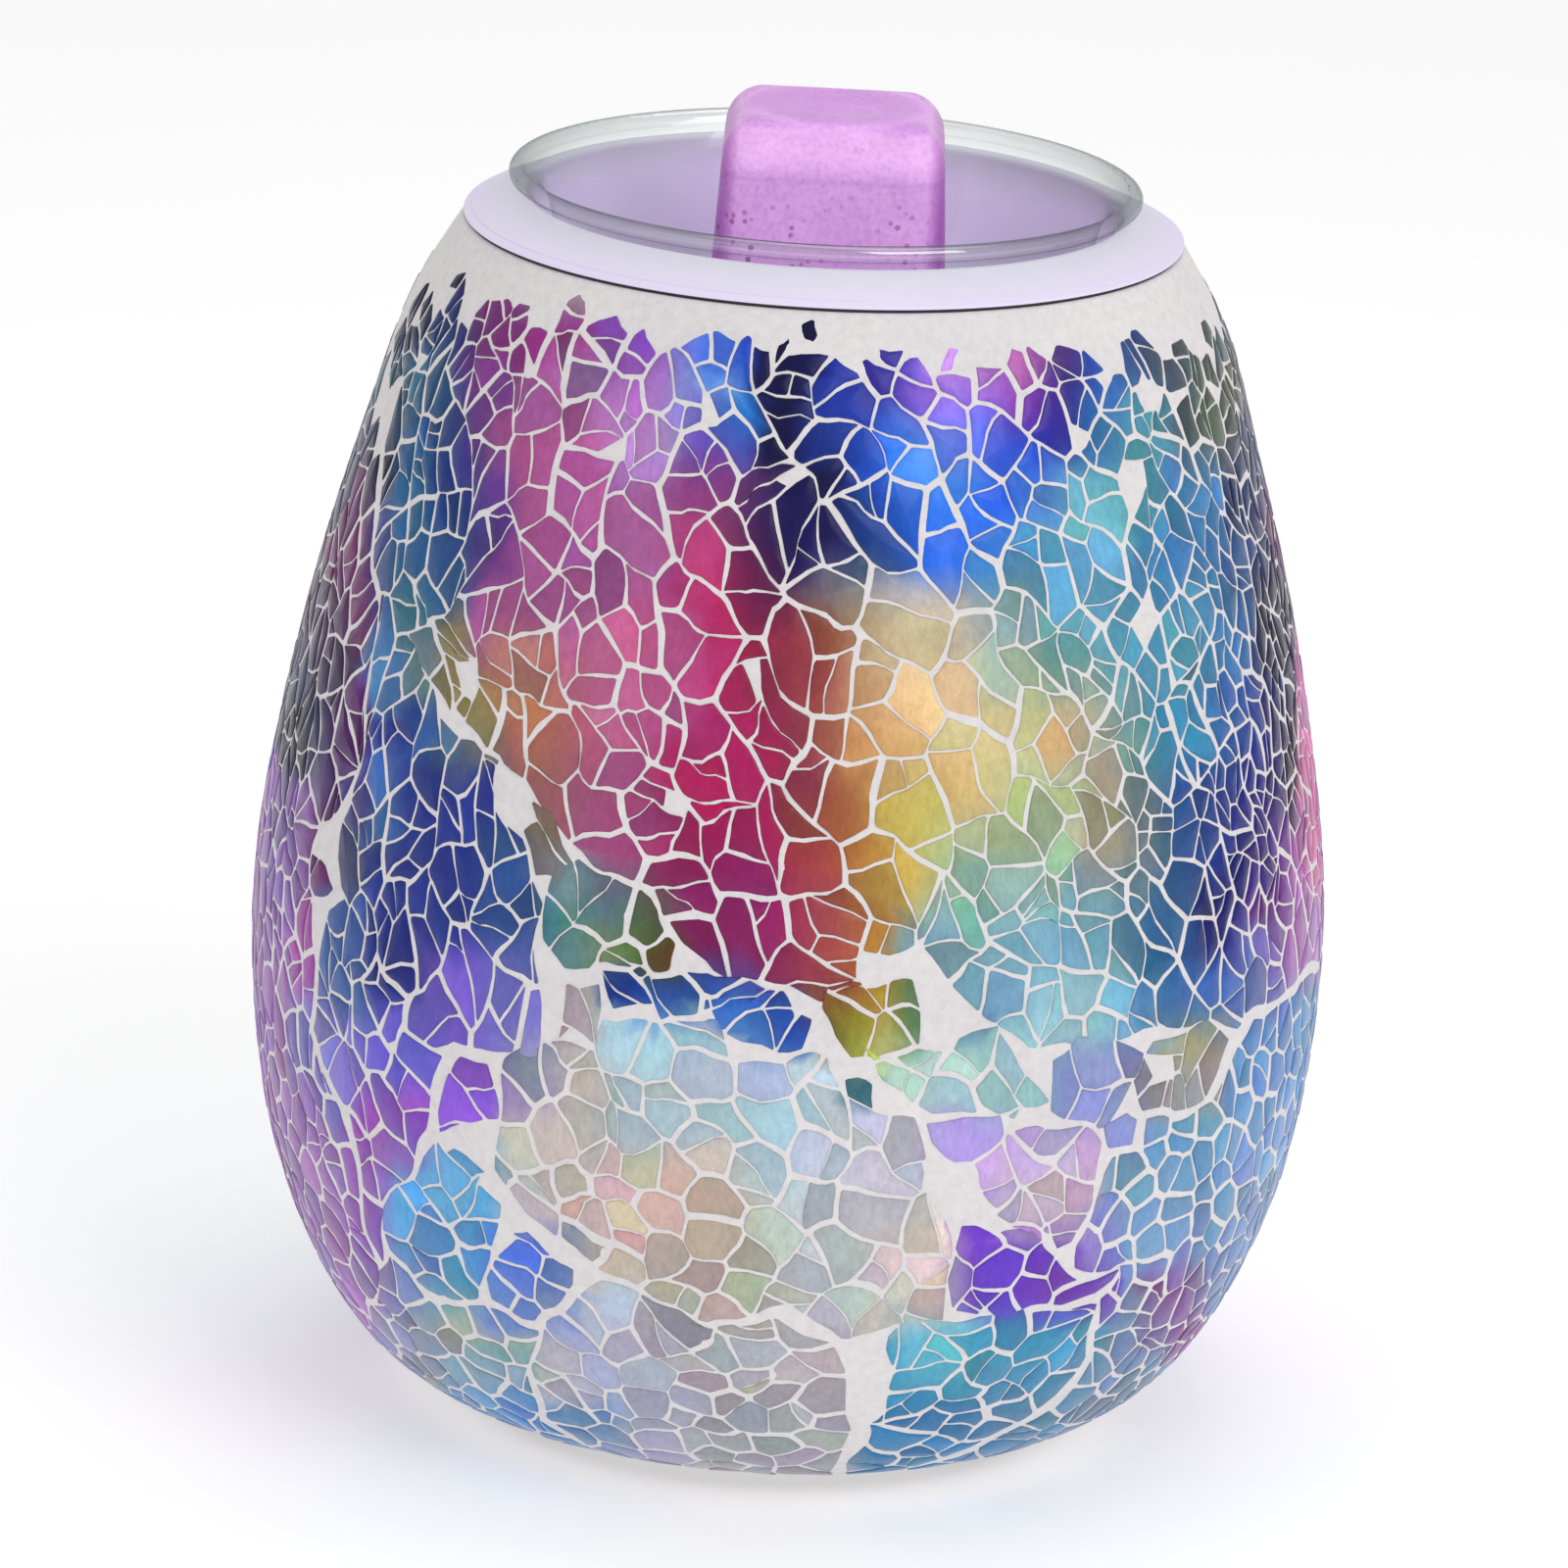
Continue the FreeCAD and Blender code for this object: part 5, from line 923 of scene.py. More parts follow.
def make_tiles():
    T, Q, MM, AA = make_seeds()
    own = []
    for i in range(len(T)):
        own.append((patch_of(fold(T[i], Q[i]), Q[i]), abs(wrap(T[i])) <= seam(Q[i])))
    # a patch too small to have caught a seed gets one at its middle
    extra = []
    for n, o in OUT:
        for front in (True, False):
            if (n, front) not in own:
                cx, cy = centroid(o)
                extra.append((cx if front else cx + math.pi, cy, (n, front)))
    if extra:
        et, eq = np.array([e[0] for e in extra]), np.array([e[1] for e in extra])
        em, ea = metric(et, eq)
        T, Q, MM, AA = np.concatenate([T, et]), np.concatenate([Q, eq]), np.concatenate([MM, em]), np.concatenate([AA, ea])
        own += [e[2] for e in extra]
    names = sorted(set(o for o in own if o[0]), key=str)
    PID = np.array([names.index(o) if o[0] else -1 - i for i, o in enumerate(own)])
    cs = cells(T, Q, MM, PID, np.array([o[1] for o in own]))
    tiles = []
    for i, poly in enumerate(cs):
        if not poly or len(poly) < 3 or own[i][0] is None:
            continue
        R = float(r_of_q(Q[i]))
        shift = wrap(T[i])
        ft = shift if own[i][1] else wrap(shift - math.pi)
        off = T[i] - ft
        pf = [(p[0] - off, p[1], p[2]) for p in poly]
        for pc, name in split_outlines(pf, own[i][0]):
            # keep the two halves of the pot apart at the seam
            cx = centroid([(p[0], p[1]) for p in pc])
            if abs(wrap(cx[0])) > (seam(cx[1]) if own[i][1] else math.pi - seam(cx[1])) + 0.14:
                continue
            a = abs(area([(p[0], p[1]) for p in pc])) * R * R
            if a < 1.2:
                continue
            A2 = AA[i]
            k = max(1, int(round(a / A2 + rnd.uniform(-0.35, 0.35)))) if a > 1.25 * A2 else 1
            g2 = rnd.uniform(0.12, 0.19)
            for sp in subdivide(pc, k, MM[i], g2):
                a2 = abs(area([(p[0], p[1]) for p in sp])) * R * R
                if a2 < 0.9:
                    continue
                parts = [sp]
                if a2 > 0.6 * A2 and a2 > 9.0 and rnd.random() < 0.34:
                    parts = subdivide(sp, 2, MM[i], rnd.uniform(0.08, 0.13))
                for q_ in parts:
                    o = inset(q_, R)
                    o = tidy(o, 0.25 / R) if o else o
                    if len(o) < 3 or abs(area(o)) * R * R < (3.0 if q_[0][1] > Q_RAG + 0.06 else 0.6):
                        continue
                    # too thin
                    per = sum(math.hypot(o[j][0] - o[j - 1][0], o[j][1] - o[j - 1][1]) for j in range(len(o))) * R
                    if 4 * abs(area(o)) * R * R / per < 0.6:
                        continue
                    o = round_dense(o, R, rnd.uniform(0.12, 0.4), 1.5)
                    tiles.append(([(p[0] + off, p[1]) for p in o], name, i, off))
    # wander
    flat = np.array([p for t in tiles for p in t[0]])
    P3 = place(flat[:, 0], flat[:, 1], 0.0)
    wx, wy = warp(P3)
    Rr = r_of_q(flat[:, 1])
    flat[:, 0] += wx / Rr
    flat[:, 1] += wy / Rr
    out = []
    k = 0
    for t in tiles:
        n = len(t[0])
        out.append((flat[k:k + n], t[1], t[2], t[3]))
        k += n
    return out


# ---- colour
_Zq = np.array([[(math.radians(t), float(q_of_z(z))) for t, z in zn[0]] for zn in ZONES])
_Zc = np.array([zn[1] for zn in ZONES], float)
_Zs = np.array([zn[2] for zn in ZONES])
_Za = np.array([abs(area([tuple(p) for p in qd])) for qd in _Zq])


def colour_at(th, q, off):
    """th, q, fold offset arrays -> sRGB 0..255"""
    x = th - off
    y = q
    R = r_of_q(q)
    n = len(x)
    W = np.zeros(n); C = np.zeros((n, 3))
    for i in range(len(_Zc)):
        poly = _Zq[i]
        d = dist_poly_m(x, y, poly) * R
        d = np.maximum(d, 0)
        s = _Zs[i]
        w = (np.exp(-(d / s) ** 2) + 2e-5 / (1 + (d / 6.0) ** 4)) / (_Za[i] + 0.004) ** 0.6
        W += w; C += w[:, None] * _Zc[i]
    return C / W[:, None]


def dist_poly_m(px_, py_, poly):
    # mean R is applied outside: chart distances are isotropic
    return dist_poly(px_, py_, poly)



# ------------------------------------------------------------------ materials
def srgb(c):
    c = np.asarray(c, float) / 255.0
    return np.where(c <= 0.04045, c / 12.92, ((c + 0.055) / 1.055) ** 2.4)


def lin(r, g, b):
    v = srgb((r, g, b))
    return (float(v[0]), float(v[1]), float(v[2]), 1.0)


class Mat:
    def __init__(self, name):
        self.m = bpy.data.materials.new(name)
        self.m.use_nodes = True
        self.t = self.m.node_tree
        self.b = self.t.nodes["Principled BSDF"]
        self.tc = self.t.nodes.new("ShaderNodeTexCoord")

    def node(self, kind, **kw):
        n = self.t.nodes.new("ShaderNode" + kind)
        for k, v in kw.items():
            if hasattr(n, k):
                setattr(n, k, v)
            else:
                n.inputs[k.replace("_", " ")].default_value = v
        return n

    def link(self, a, b):
        self.t.links.new(a, b)

    def set(self, **kw):
        for k, v in kw.items():
            self.b.inputs[k.replace("_", " ")].default_value = v

    def noise(self, scale, detail=3.0, rough=0.55, stretch=None):
        n = self.node("TexNoise")
        n.inputs["Scale"].default_value = scale
        n.inputs["Detail"].default_value = detail
        n.inputs["Roughness"].default_value = rough
        if stretch:
            mp = self.node("Mapping")
            mp.inputs["Scale"].default_value = stretch
            self.link(self.tc.outputs["Object"], mp.inputs["Vector"])
            self.link(mp.outputs["Vector"], n.inputs["Vector"])
        else:
            self.link(self.tc.outputs["Object"], n.inputs["Vector"])
        return n

    def ramp(self, src, stops, interp="LINEAR"):
        r = self.node("ValToRGB")
        r.color_ramp.interpolation = interp
        e = r.color_ramp.elements
        while len(e) < len(stops):
            e.new(0.5)
        for k, (p, c) in zip(e, stops):
            k.position = p
            k.color = c if len(c) == 4 else (*c, 1.0)
        self.link(src, r.inputs["Fac"])
        return r

    def mix(self, a, b, fac=None, mode="MIX", f=0.5):
        n = self.node("Mix")
        n.data_type = "RGBA"
        n.blend_type = mode
        n.inputs[0].default_value = f
        if fac is not None:
            self.link(fac, n.inputs[0])
        for src, i in ((a, 6), (b, 7)):
            if hasattr(src, "node"):
                self.link(src, n.inputs[i])
            else:
                n.inputs[i].default_value = src
        return n.outputs[2]

    def bump(self, src, strength, dist):
        b = self.node("Bump")
        b.inputs["Strength"].default_value = strength
        b.inputs["Distance"].default_value = dist
        self.link(src, b.inputs["Height"])
        self.link(b.outputs["Normal"], self.b.inputs["Normal"])


def grainy(name, c0, c1, scale, rough=0.5, metal=0.0, bump=0.0, dist=0.0001, spec=0.5, stretch=None):
    """A finish whose colour wanders between two close tones."""
    m = Mat(name)
    n = m.noise(scale, 4.0, 0.6, stretch)
    r = m.ramp(n.outputs["Fac"], [(0.3, c0), (0.7, c1)])
    m.link(r.outputs["Color"], m.b.inputs["Base Color"])
    m.set(Roughness=rough, Metallic=metal)
    m.b.inputs["Specular IOR Level"].default_value = spec
    if bump:
        m.bump(n.outputs["Fac"], bump, dist)
    return m.m


def attr_col(m, name):
    a = m.node("Attribute")
    a.attribute_name = name
    return a.outputs["Color"]


# ------------------------------------------------------------------- mesh help
def new_object(name, verts, faces, mat, smooth=True, cols=None, cname="tone"):
    me = bpy.data.meshes.new(name)
    me.from_pydata([tuple(v) for v in verts], [], faces)
    if smooth:
        me.shade_smooth()
    if cols is not None:
        ca = me.color_attributes.new(cname, "FLOAT_COLOR", "POINT")
        buf = np.ones((len(verts), 4), np.float32)
        buf[:, :3] = cols
        ca.data.foreach_set("color", buf.ravel())
    me.materials.append(mat)
    me.update()
    o = bpy.data.objects.new(name, me)
    bpy.context.scene.collection.objects.link(o)
    return o


def lathe(name, prof, mat, n=256, closed=True):
    """prof: (r, z) in mm round the section, anticlockwise seen with r to the right."""
    a = np.arange(n) * 2 * np.pi / n
    k = len(prof)
    V, F = [], []
    for r, z in prof:
        V += [(r * math.sin(t) / 1000, -r * math.cos(t) / 1000, z / 1000) for t in a]
    for i in range(k if closed else k - 1):
        j = (i + 1) % k
        for s in range(n):
            t = (s + 1) % n
            F.append((i * n + s, i * n + t, j * n + t, j * n + s))
    return new_object(name, V, F, mat)


# ------------------------------------------------------------------ the mosaic
def fbm(P, seed, wl):
    """Smooth noise on 3-D points, about -1..1."""
    rs = np.random.RandomState(seed)
    s = np.zeros(len(P))
    for w in wl:
        for _ in range(3):
            v = rs.normal(0, 1, 3)
            v /= np.linalg.norm(v)
            s += np.sin(P @ v * (6.283 / (w * rs.uniform(0.8, 1.25))) + rs.uniform(0, 6.28)) * (1.0 / (3 * len(wl)) ** 0.5)
    return s


def build_mosaic():
    tiles = make_tiles()
    keep = []
    rs = np.random.RandomState(99)
    for o, name, ci, off in tiles:
        c = o.mean(0)
        P = place(c[0], c[1], 0.0)
        if P[1] > 0 and math.hypot(P[0], P[2] - 24.0) < 9.2:
            continue
        if c[1] < Q0 or c[1] > QTOP:
            continue
        keep.append((o, off))
    V, C, F = [], [], []
    th_all = np.concatenate([o for o, _ in keep])
    offs = np.concatenate([np.full(len(o), f) for o, f in keep])
    cen = np.array([o.mean(0) for o, _ in keep])
    coff = np.array([f for _, f in keep])
    col_e = colour_at(th_all[:, 0], th_all[:, 1], offs)
    col_c = colour_at(cen[:, 0], cen[:, 1], coff)
    k = 0
    base = 0
    for ti, (o, off) in enumerate(keep):
        n = len(o)
        R = float(r_of_q(cen[ti][1]))
        c = cen[ti]
        d = o - c
        l = np.hypot(d[:, 0], d[:, 1]) * R
        e = 1 - np.minimum(0.22 / np.maximum(l, 0.05), 0.5)
        inner = c + d * e[:, None]
        g = rs.normal(0, 0.022, 2)
        hi = -0.10 + (d[:, 0] * g[0] + d[:, 1] * g[1]) * R * 0.8
        hi = np.clip(hi, -0.17, -0.02)
        A = place(o[:, 0], o[:, 1], np.full(n, -1.25))
        B = place(o[:, 0], o[:, 1], hi - 0.08)
        D = place(inner[:, 0], inner[:, 1], hi)
        ctr = place(c[0], c[1], -0.035)
        bot = place(c[0], c[1], -1.25)
        V.append(A); V.append(B); V.append(D); V.append(ctr[None]); V.append(bot[None])
        cc = col_c[ti]
        ce = 0.62 * col_e[k:k + n] + 0.38 * cc
        j = 1 + rs.normal(0, 0.055)
        tint = 1 + rs.normal(0, 0.03, 3)
        # painted shade: each piece's sides down into the gaps are darkened to 0.72 and its hidden bottom to 0.6, its
        # bevel ring to 0.95, and its top middle is painted a little lighter (1.03)
        C.append(ce * 0.72 * j); C.append(ce * 0.95 * j * tint); C.append(ce * 1.0 * j * tint)
        C.append((cc * 1.03 * j * tint)[None]); C.append((cc * 0.6)[None])
        for i in range(n):
            q = (i + 1) % n
            F.append((base + i, base + q, base + n + q, base + n + i))
            F.append((base + n + i, base + n + q, base + 2 * n + q, base + 2 * n + i))
            F.append((base + 2 * n + i, base + 2 * n + q, base + 3 * n))
            F.append((base + q, base + i, base + 3 * n + 1))
        base += 3 * n + 2
        k += n
    V = np.concatenate(V) / 1000
    C = np.clip(np.concatenate(C), 0, 255)
    return V, F, srgb(C), len(keep)


def mosaic_material():
    m = Mat("mosaic_glass")
    col = attr_col(m, "tone")
    cloud = m.noise(170.0, 4.0, 0.6)
    r1 = m.ramp(cloud.outputs["Fac"], [(0.28, (0.90, 0.90, 0.91)), (0.72, (1.05, 1.05, 1.04))])
    c1 = m.mix(col, r1.outputs["Color"], mode="MULTIPLY", f=1.0)
    fine = m.noise(1500.0, 4.0, 0.7, (1.0, 1.0, 0.5))
    r2 = m.ramp(fine.outputs["Fac"], [(0.3, (0.84, 0.84, 0.86)), (0.7, (1.10, 1.10, 1.10))])
    c2 = m.mix(c1, r2.outputs["Color"], mode="MULTIPLY", f=1.0)
    m.link(c2, m.b.inputs["Base Color"])
    # painted glow: the glass pieces give off a little light of their own colour, standing in for light coming through
    # them
    m.link(c2, m.b.inputs["Emission Color"])
    m.set(Roughness=0.30)
    m.b.inputs["Emission Strength"].default_value = 0.04
    m.b.inputs["Specular IOR Level"].default_value = 0.25
    m.bump(cloud.outputs["Fac"], 0.12, 0.0004)
    return m.m


def grout_material():
    m = Mat("grout")
    n = m.noise(900.0, 6.0, 0.65)
    big = m.noise(60.0, 3.0, 0.5)
    r = m.ramp(n.outputs["Fac"], [(0.25, lin(219, 214, 214)), (0.6, lin(232, 228, 228))])
    r2 = m.ramp(big.outputs["Fac"], [(0.3, (0.94, 0.94, 0.96)), (0.7, (1.0, 1.0, 1.0))])
    c = m.mix(r.outputs["Color"], r2.outputs["Color"], mode="MULTIPLY", f=1.0)
    m.link(c, m.b.inputs["Base Color"])
    m.set(Roughness=0.8)
    m.b.inputs["Specular IOR Level"].default_value = 0.2
    m.bump(n.outputs["Fac"], 0.35, 0.0003)
    return m.m


def build_grout():
    """Plaster shell: rough outside just under the tiles' faces, full round the mouth."""
    nt, nq = 720, 300
    th = np.arange(nt) * 2 * np.pi / nt - np.pi
    qb = np.linspace(0.0, Q_MAX, nq)
    V = []
    T, Q = np.meshgrid(th, qb)
    T, Q = T.ravel(), Q.ravel()
    P = place(T, Q, 0.0)
    zz = z_of_q(Q)
    rag = fbm(P, 5, [9.0, 5.0, 3.0])
    top = 137.2 + 1.6 * fbm(P * np.array([1, 1, 0.0]), 6, [60.0, 30.0])
    f = np.clip((zz - top) / 2.0, 0, 1)
    h = -0.20 * (1 - f) - 0.07 * f + 0.022 * rag
    h = np.minimum(h, -0.01)
    low = np.clip((zz - 2.5) / 1.2, 0, 1)
    h = h * low - 0.05 * (1 - low)
    V = place(T, Q, h)
    faces = []
    for i in range(nq - 1):
        for s in range(nt):
            t = (s + 1) % nt
            faces.append((i * nt + s, i * nt + t, (i + 1) * nt + t, (i + 1) * nt + s))
    # inner wall, coarse in height
    ki = 60
    qi = np.linspace(Q_MAX, float(q_of_z(4.6)), ki)
    inner = [place(th, np.full(nt, q), -1.9 if i else -1.9) for i, q in enumerate(qi)]
    top_lip = inner[0].copy(); top_lip[:, 2] = 141.5
    rows = [np.stack([top_lip[:, 0], top_lip[:, 1], np.full(nt, 141.49)], -1)] + inner[1:]
    foot_r = 37.3
    rows.append(np.stack([foot_r * np.sin(th), -foot_r * np.cos(th), np.full(nt, 4.5)], -1))
    rows.append(np.stack([foot_r * np.sin(th), -foot_r * np.cos(th), np.full(nt, 2.5)], -1))
    base = nt * nq
    V = np.concatenate([V] + rows) / 1000
    prev = (nq - 1) * nt
    for r in range(len(rows)):
        cur = base + r * nt
        for s in range(nt):
            t = (s + 1) % nt
            faces.append((prev + s, prev + t, cur + t, cur + s))
        prev = cur
    for s in range(nt):
        t = (s + 1) % nt
        faces.append((prev + s, prev + t, t, s))
    return V, faces


# --------------------------------------------------------------------- wax melt
def build_cube():
    n = 46
    cx, zb, zt = 0.7, 128.1, 156.0
    hb, ht = 14.0, 12.5
    hz = 0.5 * (zt - zb)
    zc = 0.5 * (zt + zb)
    R = 4.4
    idx = {}
    V, F = [], []
    u = np.linspace(-1, 1, n)
    u = np.sign(u) * (np.abs(u) ** 0.8)

    def vert(p):
        key = tuple(round(float(c), 6) for c in p)
        if key not in idx:
            idx[key] = len(V)
            V.append(key)
        return idx[key]
    for ax in range(3):
        for s in (-1, 1):
            for i in range(n - 1):
                for j in range(n - 1):
                    q = []
                    for a, b in ((i, j), (i + 1, j), (i + 1, j + 1), (i, j + 1)):
                        p = [0, 0, 0]
                        p[ax] = s
                        p[(ax + 1) % 3] = u[a]
                        p[(ax + 2) % 3] = u[b]
                        q.append(vert(p))
                    F.append(tuple(q if s > 0 else q[::-1]))
    V = np.array(V)
    H = 13.2
    P = V * np.array([H, H, hz])
    lim = np.array([H - R, H - R, hz - R])
    core = np.clip(P, -lim, lim)
    d = P - core
    l = np.linalg.norm(d, axis=1, keepdims=True)
    P = np.where(l > 1e-9, core + d / np.maximum(l, 1e-9) * R, P)
    t = (P[:, 2] + hz) / (2 * hz)
    half = hb + (ht - hb) * t
    P[:, 0] *= half / H
    P[:, 1] *= half / H
    # slightly sunk top, soft sides
    rr = np.hypot(P[:, 0] / ht, P[:, 1] / ht)
    sink = np.clip(1 - rr / 0.8, 0, 1)
    topm = P[:, 2] > hz - 0.2
    P[:, 2] -= np.where(topm, 0.55 * sink * sink * (3 - 2 * sink), 0)
    w = 0.12 * fbm(P, 31, [9.0, 6.0])
    nn = P / np.maximum(np.linalg.norm(P, axis=1, keepdims=True), 1)
    P[:, 0] += np.minimum(w, 0) * np.sign(P[:, 0]) * (np.abs(P[:, 0]) > 9)
    P[:, 1] += np.minimum(w, 0) * np.sign(P[:, 1]) * (np.abs(P[:, 1]) > 9)
    ox, oy, oz = P[:, 0].copy(), P[:, 1].copy(), P[:, 2].copy()
    P[:, 0] += cx
    P[:, 2] += zc
    # tone: a painted highlight band on the front's rounded top edge, a painted dark line under it for the back top
    # edge seen through the wax, painted shade on the left and right sides and on the top face, a painted highlight
    # ring round the top's sunk middle, and pinker towards the bottom
    z = P[:, 2]
    tone = np.tile(np.array([230.0, 176, 236]), (len(P), 1))
    # painted highlight: a lighter band along the front's rounded top edge
    lit_edge_band = np.exp(-((z - 152.0) / 1.7) ** 2) * (oy < -8)
    tone += lit_edge_band[:, None] * np.array([16.0, 16, 14])
    # painted dark line under the band, standing in for the back top edge seen through the wax
    seen_through_edge_line = np.exp(-((z - 149.6) / 0.35) ** 2) * (oy < -8)
    tone -= seen_through_edge_line[:, None] * np.array([14.0, 16, 8])
    # painted shade: the left and right sides turn darker and deeper violet
    shaded_sides = np.clip((np.abs(ox) - 10.9) / 1.7, 0, 1) * (z < 155.3)
    tone += shaded_sides[:, None] * (np.array([150.0, 66, 162]) - tone) * 0.75
    # painted shade: the top face takes a darker tone of its own
    topf = np.clip((z - 154.9) / 0.5, 0, 1)
    tone += topf[:, None] * (np.array([214.0, 152, 226]) - tone)
    # painted highlight: a lighter ring round the sunk middle of the top
    rim = np.exp(-((rr - 0.86) / 0.08) ** 2) * topf
    tone += rim[:, None] * np.array([14.0, 18, 12])
    low = np.clip((133.0 - z) / 4.0, 0, 1)
    tone += low[:, None] * (np.array([224.0, 130, 232]) - tone) * 0.5
    return P / 1000, F, srgb(np.clip(tone, 0, 255))


def wax_material():
    m = Mat("violet_wax")
    col = attr_col(m, "tone")
    cl = m.noise(160.0, 3.0, 0.5)
    r = m.ramp(cl.outputs["Fac"], [(0.3, (0.93, 0.90, 0.95)), (0.7, (1.03, 1.04, 1.02))])
    c1 = m.mix(col, r.outputs["Color"], mode="MULTIPLY", f=1.0)
    # little bubbles, most of them low in the melt, and a fine speckle
    def dots(scale, size, lo, gate_at, seed):
        mp = m.node("Mapping")
        mp.inputs["Location"].default_value = (seed, seed * 1.7, seed * 0.6)
        m.link(m.tc.outputs["Object"], mp.inputs["Vector"])
        vo = m.node("TexVoronoi")
        vo.inputs["Scale"].default_value = scale
        m.link(mp.outputs["Vector"], vo.inputs["Vector"])
        d_ = m.ramp(vo.outputs["Distance"], [(0.0, (1, 1, 1)), (size * 0.7, (1, 1, 1)), (size, (0, 0, 0))])
        sc = m.node("SeparateColor")
        m.link(vo.outputs["Color"], sc.inputs[0])
        sel = m.ramp(sc.outputs[0], [(lo, (0, 0, 0)), (lo + 0.04, (1, 1, 1))])
        pick = m.noise(95.0, 2.0, 0.5)
        gate = m.ramp(pick.outputs["Fac"], [(gate_at, (0, 0, 0)), (gate_at + 0.08, (1, 1, 1))])
        f1 = m.mix(d_.outputs["Color"], gate.outputs["Color"], mode="MULTIPLY", f=1.0)
        return m.mix(f1, sel.outputs["Color"], mode="MULTIPLY", f=1.0)
    sp = m.noise(1500.0, 2.0, 0.6)
    rs_ = m.ramp(sp.outputs["Fac"], [(0.30, (0.84, 0.80, 0.86)), (0.52, (1.0, 1.0, 1.0)), (0.75, (1.08, 1.12, 1.06))])
    c1 = m.mix(c1, rs_.outputs["Color"], mode="MULTIPLY", f=0.8)
    sx = m.node("SeparateXYZ")
    m.link(m.tc.outputs["Object"], sx.inputs[0])
    lowr = m.ramp(sx.outputs[2], [(0.0, (1, 1, 1)), (0.1425, (1, 1, 1)), (0.1475, (0.12, 0.12, 0.12))])
    fa = m.mix(dots(900.0, 0.34, 0.45, 0.40, 0.0), lowr.outputs["Color"], mode="MULTIPLY", f=1.0)
    fb = m.mix(dots(520.0, 0.20, 0.55, 0.44, 0.3), lowr.outputs["Color"], mode="MULTIPLY", f=1.0)
    c2 = m.mix(c1, lin(128, 62, 140), fac=fa)
    c2 = m.mix(c2, lin(96, 44, 104), fac=fb)
    m.link(c2, m.b.inputs["Base Color"])
    # painted glow: the wax gives off a little light of its own colour, standing in for light passing through it
    m.link(c2, m.b.inputs["Emission Color"])
    m.b.inputs["Emission Strength"].default_value = 0.10
    m.set(Roughness=0.34)
    m.b.inputs["Subsurface Weight"].default_value = 0.25
    m.b.inputs["Subsurface Radius"].default_value = (0.004, 0.0025, 0.004)
    m.b.inputs["Subsurface Scale"].default_value = 1.0
    m.b.inputs["Specular IOR Level"].default_value = 0.45
    m.bump(cl.outputs["Fac"], 0.15, 0.0004)
    return m.m


def glass_material():
    """Clear thin glass: see-through face on, greyer and shinier where it turns away."""
    m = Mat("clear_glass")
    n = m.noise(90.0, 2.0, 0.5)
    lw = m.node("LayerWeight")
    lw.inputs["Blend"].default_value = 0.5
    tint = m.ramp(lw.outputs["Facing"], [(0.0, (0.99, 0.995, 0.995)), (0.78, (0.975, 0.985, 0.98)), (0.93, (0.82, 0.85, 0.845)), (1.0, (0.30, 0.34, 0.34))])
    r = m.ramp(n.outputs["Fac"], [(0.3, (0.97, 0.975, 0.975)), (0.7, (1.0, 1.0, 1.0))])
    # the fire-polished rim is a thick bead: darker lines along it, brighter between
    sx = m.node("SeparateXYZ")
    m.link(m.tc.outputs["Object"], sx.inputs[0])
    bead = m.ramp(sx.outputs[2], [(0.1448, (0, 0, 0)), (0.1454, (1, 1, 1))])
    btint = m.ramp(lw.outputs["Facing"], [(0.0, (0.97, 0.98, 0.98)), (0.25, (0.93, 0.95, 0.95)), (0.55, (0.66, 0.69, 0.69)), (0.8, (0.42, 0.45, 0.45)), (1.0, (0.22, 0.24, 0.24))])
    both = m.mix(tint.outputs["Color"], btint.outputs["Color"], fac=bead.outputs["Color"])
    c = m.mix(both, r.outputs["Color"], mode="MULTIPLY", f=1.0)
    tr = m.node("BsdfTransparent")
    m.link(c, tr.inputs["Color"])
    m.link(r.outputs["Color"], m.b.inputs["Base Color"])
    m.set(Roughness=0.03, IOR=1.5)
    m.b.inputs["Metallic"].default_value = 1.0
    fr = m.ramp(lw.outputs["Facing"], [(0.0, (0.015, 0.015, 0.015)), (0.75, (0.03, 0.03, 0.03)), (0.92, (0.16, 0.16, 0.16)), (1.0, (0.65, 0.65, 0.65))])
    bfr = m.ramp(lw.outputs["Facing"], [(0.0, (0.30, 0.30, 0.30)), (0.3, (0.20, 0.20, 0.20)), (0.6, (0.10, 0.10, 0.10)), (0.85, (0.18, 0.18, 0.18)), (1.0, (0.55, 0.55, 0.55))])
    ff = m.mix(fr.outputs["Color"], bfr.outputs["Color"], fac=bead.outputs["Color"])
    mx = m.node("MixShader")
    m.link(ff, mx.inputs[0])
    m.link(tr.outputs[0], mx.inputs[1])
    m.link(m.b.outputs[0], mx.inputs[2])
    lp = m.node("LightPath")
    clear = m.node("BsdfTransparent")
    m2 = m.node("MixShader")
    m.link(lp.outputs["Is Shadow Ray"], m2.inputs[0])
    m.link(mx.outputs[0], m2.inputs[1])
    m.link(clear.outputs[0], m2.inputs[2])
    out = m.t.nodes["Material Output"]
    m.link(m2.outputs[0], out.inputs["Surface"])
    return m.m


